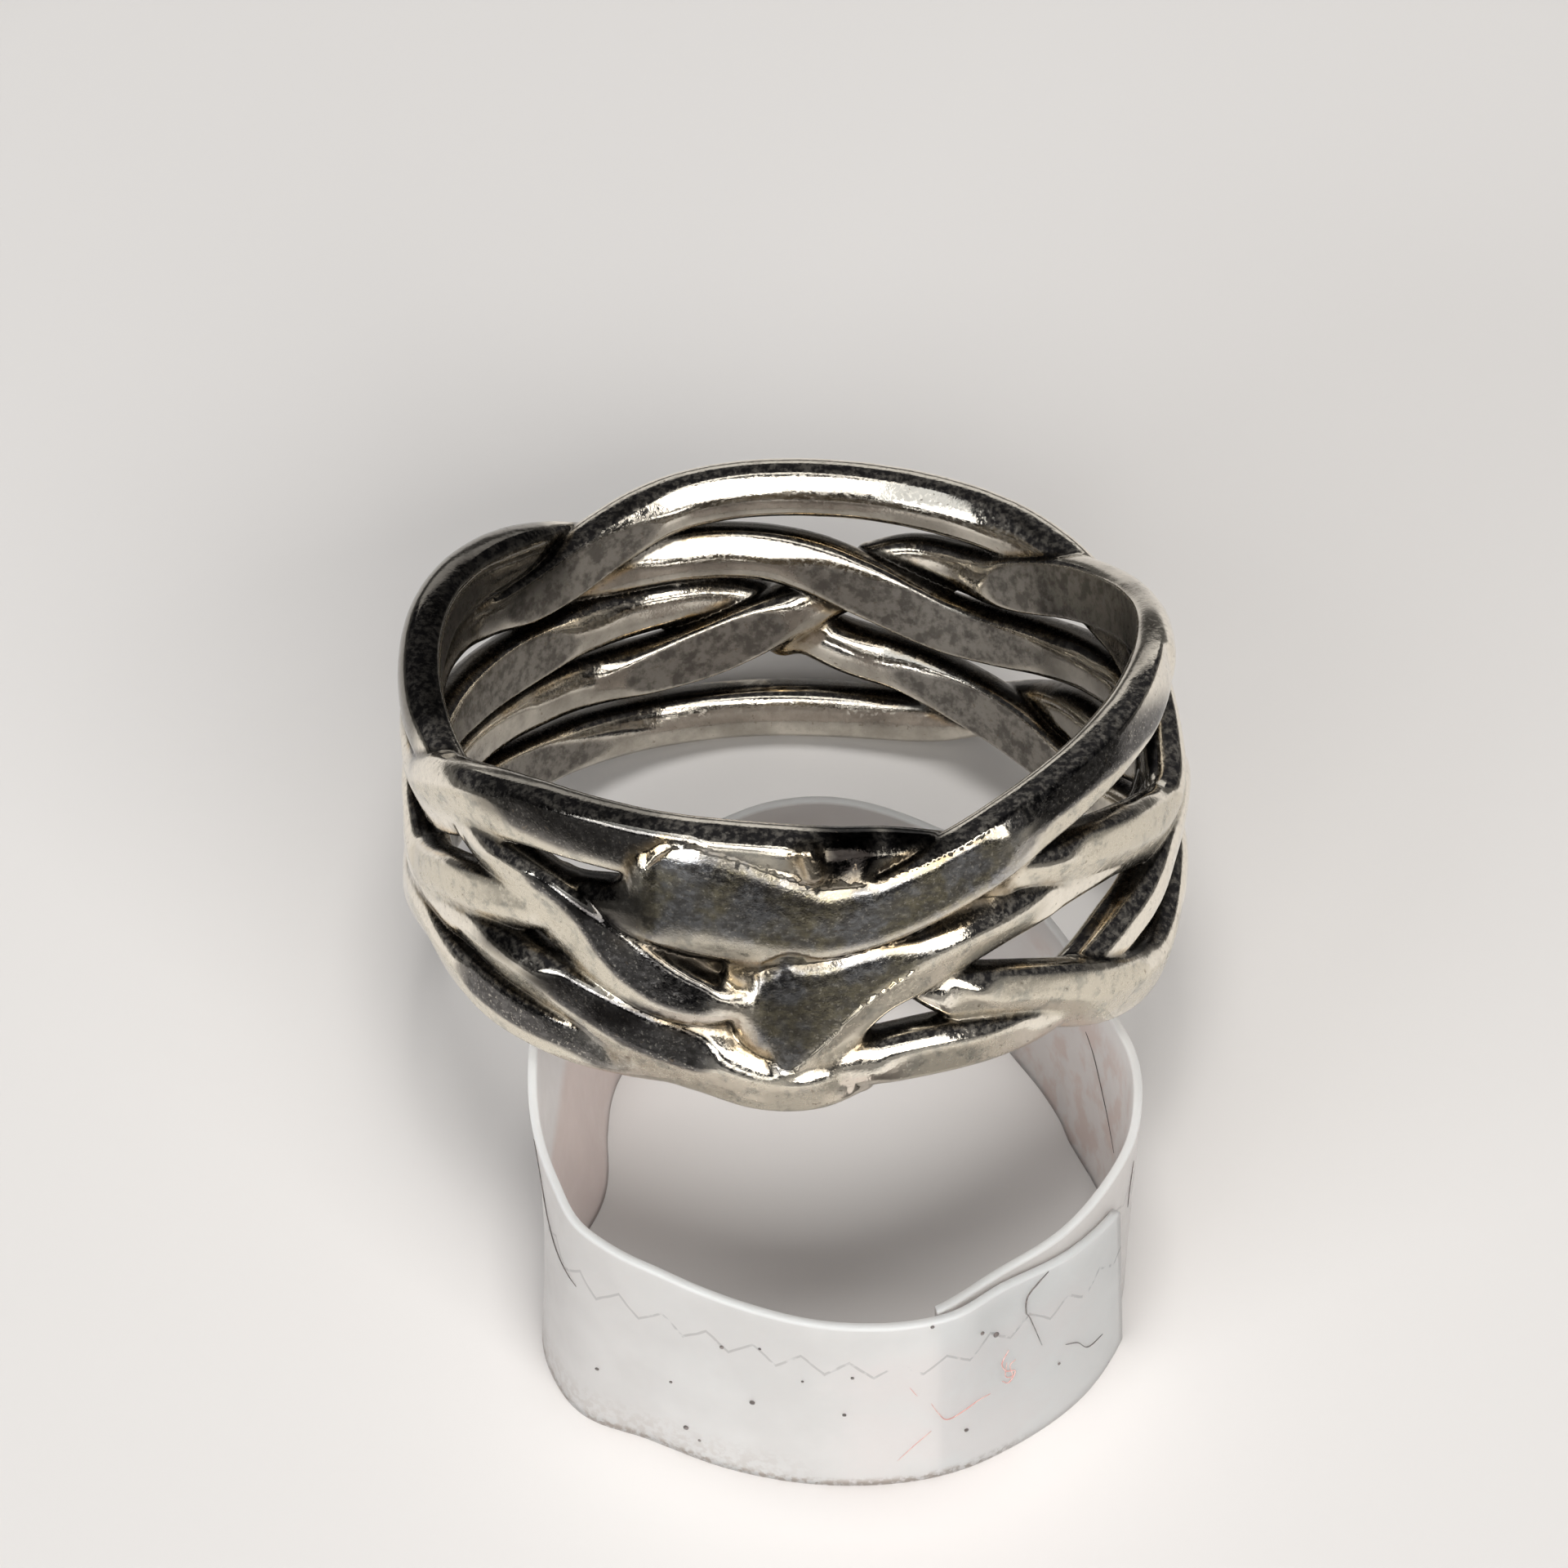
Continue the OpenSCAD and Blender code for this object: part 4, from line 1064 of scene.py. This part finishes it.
class Nodes:
    """A new material, with short calls for building its nodes."""

    def __init__(self, name):
        self.material = bpy.data.materials.new(name)
        self.material.use_nodes = True
        self.tree = self.material.node_tree
        self.place = self.add("ShaderNodeTexCoord").outputs["Object"]

    def add(self, kind, **settings):
        node = self.tree.nodes.new(kind)
        for key, value in settings.items():
            setattr(node, key, value)
        return node

    def join(self, socket, value):
        if isinstance(value, bpy.types.NodeSocket):
            self.tree.links.new(value, socket)
        else:
            socket.default_value = value

    def set(self, name, value):
        """Link a value to the shader's socket, or set it there if it is the same all over the surface."""
        self.join(self.tree.nodes["Principled BSDF"].inputs[name], value)

    def mask(self, name):
        return self.add("ShaderNodeAttribute", attribute_name=name).outputs["Fac"]

    def noise(self, size_mm, detail=3.0, rough=0.55, stretch=None):
        """Noise from 0 to 1 with features about as wide as size_mm."""
        place = self.place
        if stretch:
            turn = self.add("ShaderNodeMapping")
            self.join(turn.inputs["Vector"], place)
            turn.inputs["Scale"].default_value = stretch
            place = turn.outputs["Vector"]
        node = self.add("ShaderNodeTexNoise")
        self.join(node.inputs["Vector"], place)
        node.inputs["Scale"].default_value = 1 / (size_mm * MM)
        node.inputs["Detail"].default_value = detail
        node.inputs["Roughness"].default_value = rough
        return node.outputs["Fac"]

    def math(self, kind, a, b=0.0, clamp=False):
        node = self.add("ShaderNodeMath", operation=kind, use_clamp=clamp)
        for socket, value in zip(node.inputs, (a, b)):
            self.join(socket, value)
        return node.outputs[0]

    def times(self, a, b):
        return self.math("MULTIPLY", a, b)

    def plus(self, a, b, clamp=False):
        return self.math("ADD", a, b, clamp)

    def minus(self, a, b):
        return self.math("SUBTRACT", a, b)

    def larger(self, a, b):
        return self.math("MAXIMUM", a, b)

    def ramp(self, value, low, high, to_low=0.0, to_high=1.0):
        node = self.add("ShaderNodeMapRange", interpolation_type="SMOOTHSTEP")
        for socket, number in zip(node.inputs, (value, low, high, to_low, to_high)):
            self.join(socket, number)
        return node.outputs[0]

    def window(self, value, low, high, soft):
        """1 between low and high, and 0 from a distance of soft outside them."""
        rise = self.ramp(value, low - soft, low)
        return self.times(rise, self.ramp(value, high, high + soft, 1.0, 0.0))

    def mix(self, share, a, b):
        """Colour a where share is 0 and b where it is 1."""
        node = self.add("ShaderNodeMix", data_type="RGBA")
        self.join(node.inputs[0], share)
        for socket, value in zip(node.inputs[COLOUR_A:], (a, b)):
            if not isinstance(value, bpy.types.NodeSocket):
                value = (*value, 1)
            self.join(socket, value)
        return node.outputs[COLOUR_OUT]

    def bump(self, height, depth_mm):
        node = self.add("ShaderNodeBump")
        node.inputs["Strength"].default_value = 1
        node.inputs["Distance"].default_value = depth_mm * MM
        self.join(node.inputs["Height"], height)
        return node.outputs["Normal"]


SILVER = (0.94, 0.88, 0.77)
TARNISH = (0.20, 0.16, 0.12)
# Near-black: the oxide left in the hollows, and also the painted shade over the dark places
OXIDE_AND_SHADE_BLACK = (0.014, 0.012, 0.011)
GOLDEN = (0.72, 0.52, 0.26)
# Hammered faces: olive and blue tarnish, darkened as a painted dark reflection
FACE_OLIVE = (0.33, 0.295, 0.20)
FACE_BLUE = (0.35, 0.355, 0.37)
FACE_DARK = (0.14, 0.13, 0.12)
FACE_PAINTED_DARK_MIRROR = (0.056, 0.054, 0.056)
FACE_PAINTED_DARK_STREAK = (0.125, 0.12, 0.12)
FLAT_GREY = (0.30, 0.28, 0.25)
FLAT_DARK = (0.12, 0.11, 0.10)
INSIDE_GREY = (0.33, 0.30, 0.255)
PAD_CREAM = (0.68, 0.62, 0.505)
PAD_GREY = (0.36, 0.35, 0.30)
SILVER_MASKS = ("hidden", "crevice", "solder", "flat", "inner", "face", "leaf", "grime", "pad")


def silver_material():
    n = Nodes("silver")
    mottle = n.noise(0.28, 4, 0.62)
    cloud = n.noise(1.5, 3)
    grain = n.noise(0.07, 2)
    hidden, crevice, solder, flat, inner, face, leaf, grime, pad = map(n.mask, SILVER_MASKS)
    deep = n.ramp(n.plus(hidden, n.times(n.minus(mottle, 0.5), 0.25)), 0.12, 0.42)
    open_share = n.minus(1.0, n.times(pad, 0.5))
    colour = n.mix(n.times(n.ramp(mottle, 0.5, 0.72), 0.2), SILVER, TARNISH)
    # Tarnish grey on the inside, lifted where the highlight falls: partly tarnish, partly a painted
    # highlight
    colour = n.mix(n.times(inner, n.ramp(cloud, 0.3, 0.7, 0.4, 0.9)), colour, INSIDE_GREY)
    worn = n.mix(n.ramp(n.noise(0.42, 4, 0.65), 0.40, 0.62), FLAT_GREY, FLAT_DARK)
    colour = n.mix(n.times(flat, 0.9), colour, worn)
    streak = n.noise(0.16, 4, 0.65, stretch=(0.4, 1, 1))
    fleck = n.ramp(n.noise(0.085, 2), 0.60, 0.68)
    # The hammered faces: olive and blue tarnish, darkened and streaked as a painted dark reflection, with
    # silver flecks painted as glints
    face_tarnish_and_dark_reflection = n.mix(n.ramp(n.noise(1.1, 3), 0.42, 0.58), FACE_OLIVE, FACE_BLUE)
    face_tarnish_and_dark_reflection = n.mix(n.ramp(streak, 0.42, 0.58, 0.0, 0.65), face_tarnish_and_dark_reflection, FACE_DARK)
    face_tarnish_and_dark_reflection = n.mix(n.times(fleck, 0.45), face_tarnish_and_dark_reflection, SILVER)
    colour = n.mix(n.times(face, 0.92), colour, face_tarnish_and_dark_reflection)
    # Painted dark reflection: the wires' broad faces are painted near-black, with smoky streaks and silver
    # flecks painted as glints
    painted_dark_mirror = n.mix(n.ramp(streak, 0.45, 0.62), FACE_PAINTED_DARK_MIRROR, FACE_PAINTED_DARK_STREAK)
    painted_dark_mirror = n.mix(n.times(fleck, 0.35), painted_dark_mirror, SILVER)
    colour = n.mix(n.times(leaf, 0.95), colour, painted_dark_mirror)
    blotch = n.ramp(n.noise(0.55, 5, 0.62), 0.50, 0.64, 0.0, 0.8)
    colour = n.mix(n.times(pad, 0.9), colour, n.mix(blotch, PAD_CREAM, PAD_GREY))
    colour = n.mix(n.times(solder, n.ramp(mottle, 0.35, 0.65, 0.15, 0.65)), colour, TARNISH)
    rust = n.times(n.ramp(hidden, 0.04, 0.2), n.ramp(cloud, 0.4, 0.65, 0.05, 0.7))
    melted = n.times(solder, n.ramp(hidden, 0.02, 0.14, 0.2, 1.0))
    rust = n.larger(rust, n.times(melted, n.ramp(cloud, 0.35, 0.65, 0.3, 0.8)))
    colour = n.mix(n.times(rust, open_share), colour, GOLDEN)
    soot = n.larger(n.times(deep, 0.93), n.times(crevice, 0.9))
    colour = n.mix(n.times(soot, open_share), colour, OXIDE_AND_SHADE_BLACK)
    # Painted shade: the places in the table are painted near-black
    colour = n.mix(grime, colour, OXIDE_AND_SHADE_BLACK)
    pits = n.ramp(n.noise(0.16, 2), 0.66, 0.74)
    colour = n.mix(n.times(pits, 0.6), colour, TARNISH)
    n.set("Base Color", colour)
    matte = n.times(pad, n.minus(1.0, grime))
    film = n.ramp(n.noise(0.2, 4, 0.68), 0.42, 0.68, 0.0, 0.11)
    dull = n.larger(n.times(matte, 0.28), film)
    n.set("Metallic", n.minus(1.0, dull))
    speck = n.times(n.ramp(n.noise(0.13, 3, 0.6), 0.50, 0.62), n.ramp(cloud, 0.35, 0.6, 0.25, 1.0))
    rough = n.ramp(speck, 0.0, 1.0, 0.075, 0.26)
    rough = n.minus(rough, n.times(n.times(speck, face), 0.10))
    rough = n.plus(rough, n.times(flat, 0.28))
    rough = n.plus(rough, n.times(matte, 0.12))
    rough = n.plus(rough, n.times(n.plus(solder, face), 0.06))
    rough = n.plus(rough, n.times(deep, 0.15), clamp=True)
    n.set("Roughness", rough)
    height = n.plus(mottle, n.times(grain, 0.35))
    n.set("Normal", n.bump(height, 0.004))
    return n.material


FILM = (0.73, 0.69, 0.67)
FILM_EDGE = (0.97, 0.97, 0.95)
FILM_DIRT = (0.36, 0.27, 0.22)
FILM_PALE = (0.78, 0.745, 0.725)
# Painted shade for the strip's left side and painted light for its right side
FILM_SHADED_LEFT = (0.50, 0.46, 0.445)
FILM_LIT_RIGHT = (0.98, 0.93, 0.91)
FILM_PINK = (0.80, 0.62, 0.60)
# Painted shade for the inner walls of the loop, pink-brown
FILM_INNER_SHADE = (0.50, 0.36, 0.32)
PRINT_GREY = (0.30, 0.28, 0.28)
FILM_MASKS = ("along", "below", "angle", "share", "inside", "cut_edge")


def film_material():
    n = Nodes("clear_plastic")
    cloud = n.noise(2.6, 3)
    fine = n.noise(0.35, 3)
    along, below, angle, share, inside, edge = map(n.mask, FILM_MASKS)
    wave = n.math("PINGPONG", n.plus(along, n.times(cloud, 0.15)), 0.66)
    wave = n.plus(n.times(wave, 0.9), n.ramp(cloud, 0.3, 0.7, 1.35, 1.55))
    line = n.math("ABSOLUTE", n.minus(below, wave))
    line = n.ramp(line, 0.03, 0.08, 1.0, 0.0)
    line = n.times(line, n.ramp(n.noise(0.55, 2), 0.38, 0.50, 0.0, 0.55))
    line = n.times(line, n.minus(1.0, inside))
    colour = n.mix(n.ramp(cloud, 0.3, 0.7, 0.0, 0.5), FILM, FILM_PALE)
    # Painted shade on the left of the strip and painted light on its right
    colour = n.mix(n.ramp(angle, 295, 345, 0.6, 0.0), colour, FILM_SHADED_LEFT)
    colour = n.mix(n.ramp(angle, 352, 388, 0.0, 0.95), colour, FILM_LIT_RIGHT)
    pink = n.times(n.window(angle, 368, 402, 14), n.window(share, 0.1, 0.7, 0.25))
    pink = n.times(pink, n.ramp(cloud, 0.4, 0.65, 0.1, 0.4))
    colour = n.mix(pink, colour, FILM_PINK)
    # Painted shade on the inner walls of the loop, patchy on one side
    painted_inner_shade = n.times(n.window(angle, 236, 288, 12), n.window(share, -0.5, 0.62, 0.1))
    other = n.times(n.window(angle, 86, 128, 10), n.window(share, -0.5, 0.8, 0.15))
    painted_inner_shade = n.larger(painted_inner_shade, n.times(other, n.ramp(n.noise(0.9, 3), 0.42, 0.62, 0.2, 1.0)))
    painted_inner_shade = n.times(painted_inner_shade, n.times(inside, 0.8))
    colour = n.mix(painted_inner_shade, colour, FILM_INNER_SHADE)
    dirt = n.times(n.ramp(share, 0.015, 0.06, 1.0, 0.0), n.window(angle, 304, 382, 16))
    dust = n.times(n.ramp(share, 0.06, 0.22, 0.35, 0.0), n.window(angle, 306, 345, 16))
    dirt = n.larger(dirt, dust)
    dirt = n.times(dirt, n.ramp(n.noise(0.22, 3), 0.40, 0.60, 0.1, 0.85))
    colour = n.mix(dirt, colour, FILM_DIRT)
    colour = n.mix(line, colour, PRINT_GREY)
    colour = n.mix(edge, colour, FILM_EDGE)
    n.set("Base Color", colour)
    n.set("Roughness", n.ramp(fine, 0.3, 0.7, 0.30, 0.36))
    n.set("IOR", 1.47)
    n.set("Subsurface Weight", 0.85)
    n.set("Subsurface Radius", (1.0, 0.92, 0.90))
    n.set("Subsurface Scale", 0.0025)
    clear = n.ramp(cloud, 0.3, 0.7, 0.92, 0.98)
    n.set("Alpha", n.plus(clear, n.times(edge, 0.2), clamp=True))
    n.set("Normal", n.bump(cloud, 0.05))
    return n.material


DARK_LINT = ((0.10, 0.085, 0.08), (0.20, 0.17, 0.16))
RED_LINT = ((0.62, 0.30, 0.27), (0.78, 0.50, 0.46))


def lint_material(name, dark, pale):
    """Dull fibre, darker and paler by turns along its length."""
    n = Nodes(name)
    n.set("Base Color", n.mix(n.ramp(n.noise(0.2, 3), 0.4, 0.6), dark, pale))
    n.set("Roughness", n.ramp(n.noise(0.1, 2), 0.3, 0.7, 0.6, 0.8))
    n.set("Sheen Weight", 0.3)
    return n.material


# Floor colours: lit inside the painted pool of light, unlit beyond it
FLOOR_LIT = (0.785, 0.77, 0.76)
FLOOR_UNLIT = (0.095, 0.093, 0.09)
# Middle of the pool of light painted on the floor, and how far from it the painted fall into shade starts
# and ends, in metres
LIGHT_POOL_MIDDLE = (0, 0.008, 0)
LIGHT_POOL_REACH = (0.040, 0.062)


def floor_material():
    n = Nodes("pale_floor")
    away = n.add("ShaderNodeVectorMath", operation="DISTANCE")
    n.join(away.inputs[0], n.place)
    away.inputs[1].default_value = LIGHT_POOL_MIDDLE
    # Painted pool of light: pale near the ring, falling to dark beyond
    far = n.ramp(away.outputs["Value"], *LIGHT_POOL_REACH)
    n.set("Base Color", n.mix(far, FLOOR_LIT, FLOOR_UNLIT))
    n.set("Roughness", 0.7)
    n.set("Specular IOR Level", 0.2)
    return n.material


# The stage

TILT = math.radians(52)
AIM = np.array([0, math.cos(TILT), -math.sin(TILT)])
CAMERA_UP = np.array([0, math.sin(TILT), math.cos(TILT)])
CAMERA_AWAY = 180.0
FOCAL_PIXELS = 7956
PHOTO_SIDE = 1920
SENSOR_MM = 36
RING_PIXEL = (965.0, 960.5)
EYE = RING_MIDDLE - CAMERA_AWAY * AIM


def make_camera():
    data = bpy.data.cameras.new("camera")
    data.sensor_width = SENSOR_MM
    data.lens = FOCAL_PIXELS / PHOTO_SIDE * SENSOR_MM
    data.shift_x = (PHOTO_SIDE / 2 - RING_PIXEL[0]) / PHOTO_SIDE
    data.shift_y = (RING_PIXEL[1] - PHOTO_SIDE / 2) / PHOTO_SIDE
    data.clip_start = 0.01
    data.clip_end = 10
    camera = bpy.data.objects.new("camera", data)
    turn = Matrix((Vector((1, 0, 0)), Vector(CAMERA_UP), Vector(-AIM))).transposed().to_4x4()
    camera.matrix_world = Matrix.Translation(Vector(EYE * MM)) @ turn
    bpy.context.scene.collection.objects.link(camera)
    bpy.context.scene.camera = camera


def toward(side, height):
    """Direction from the ring: side in degrees from the viewer to the right, height above the floor."""
    a, e = math.radians(side), math.radians(height)
    return Vector((math.sin(a) * math.cos(e), -math.cos(a) * math.cos(e), math.sin(e)))


def make_light(name, side, height, wide, tall, shine, colour, away=0.6):
    """An area light that fills wide by tall degrees of the sky, with the same shine whatever its size."""
    data = bpy.data.lights.new(name, "AREA")
    data.shape = "RECTANGLE"
    data.size = 2 * away * math.tan(math.radians(wide) / 2)
    data.size_y = 2 * away * math.tan(math.radians(tall) / 2)
    data.energy = shine * math.pi * data.size * data.size_y
    data.color = colour
    light = bpy.data.objects.new(name, data)
    direction = toward(side, height)
    light.location = Vector(RING_MIDDLE * MM) + direction * away
    light.rotation_euler = direction.to_track_quat("Z", "Y").to_euler()
    bpy.context.scene.collection.objects.link(light)
    return light


WARM = (1.0, 0.98, 0.95)
COOL = (0.93, 0.965, 1.0)
PALE_BLUE = (0.97, 0.985, 1.0)
# Lamps: name, side, height, width and tallness in degrees, shine and colour
LAMPS = (
    ("lamp_right", 27, 37, 44, 22, 4.6, WARM),
    ("lamp_right_low", 27, 18, 44, 14, 3.9, WARM),
    ("lamp_left_low", -45, 15, 30, 14, 9.0, PALE_BLUE),
    ("lamp_left", -45, 36, 30, 26, 0.9, COOL),
    ("lamp_low", -12, 13, 36, 7, 1.6, WARM),
    ("lamp_high", 3, 60, 60, 7, 1.4, WARM),
    ("lamp_front", -12.5, 38, 35, 20, 2.3, WARM),
    ("lamp_rear", 180, 6, 44, 13, 0.6, WARM),
    ("lamp_above", 180, 86, 22, 22, 9.1, WARM),
)
ROOM = (0.018, 0.018, 0.021, 1)
FLOOR_HALF = 0.6
FLOOR_DROP = 0.00002


def make_stage():
    lights = [make_light(*lamp) for lamp in LAMPS]
    # The last lamp only fills the shade: the silver doesn't mirror it
    lights[-1].visible_glossy = False
    world = bpy.data.worlds.new("room")
    world.use_nodes = True
    world.node_tree.nodes["Background"].inputs["Color"].default_value = ROOM
    bpy.context.scene.world = world
    bpy.context.scene.view_settings.view_transform = "Standard"
    corners = FLOOR_HALF * np.array([[-1, -1, 0], [1, -1, 0], [1, 1, 0], [-1, 1, 0]])
    floor = new_mesh("floor", corners, np.array([[0, 1, 2, 3]]))
    floor.location.z = -FLOOR_DROP
    floor.data.materials.append(floor_material())


def settle(piece, material, node=None):
    """The piece takes its material, rides on the body and, where a node is named, stands for it."""
    piece.data.materials.clear()
    piece.data.materials.append(material)
    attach(piece, "root")
    if node:
        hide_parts(node)


make_camera()
make_stage()
settle(make_band(), silver_material(), "wrap_band")
settle(make_strip(), film_material(), "strip_stand")
dark_lint = lint_material("dark_lint", *DARK_LINT)
red_lint = lint_material("red_lint", *RED_LINT)
settle(make_hairs("dark_hairs", DARK_HAIRS), dark_lint)
settle(make_hairs("dark_specks", speck_hairs()), dark_lint)
settle(make_hairs("red_fibres", RED_FIBRES), red_lint)
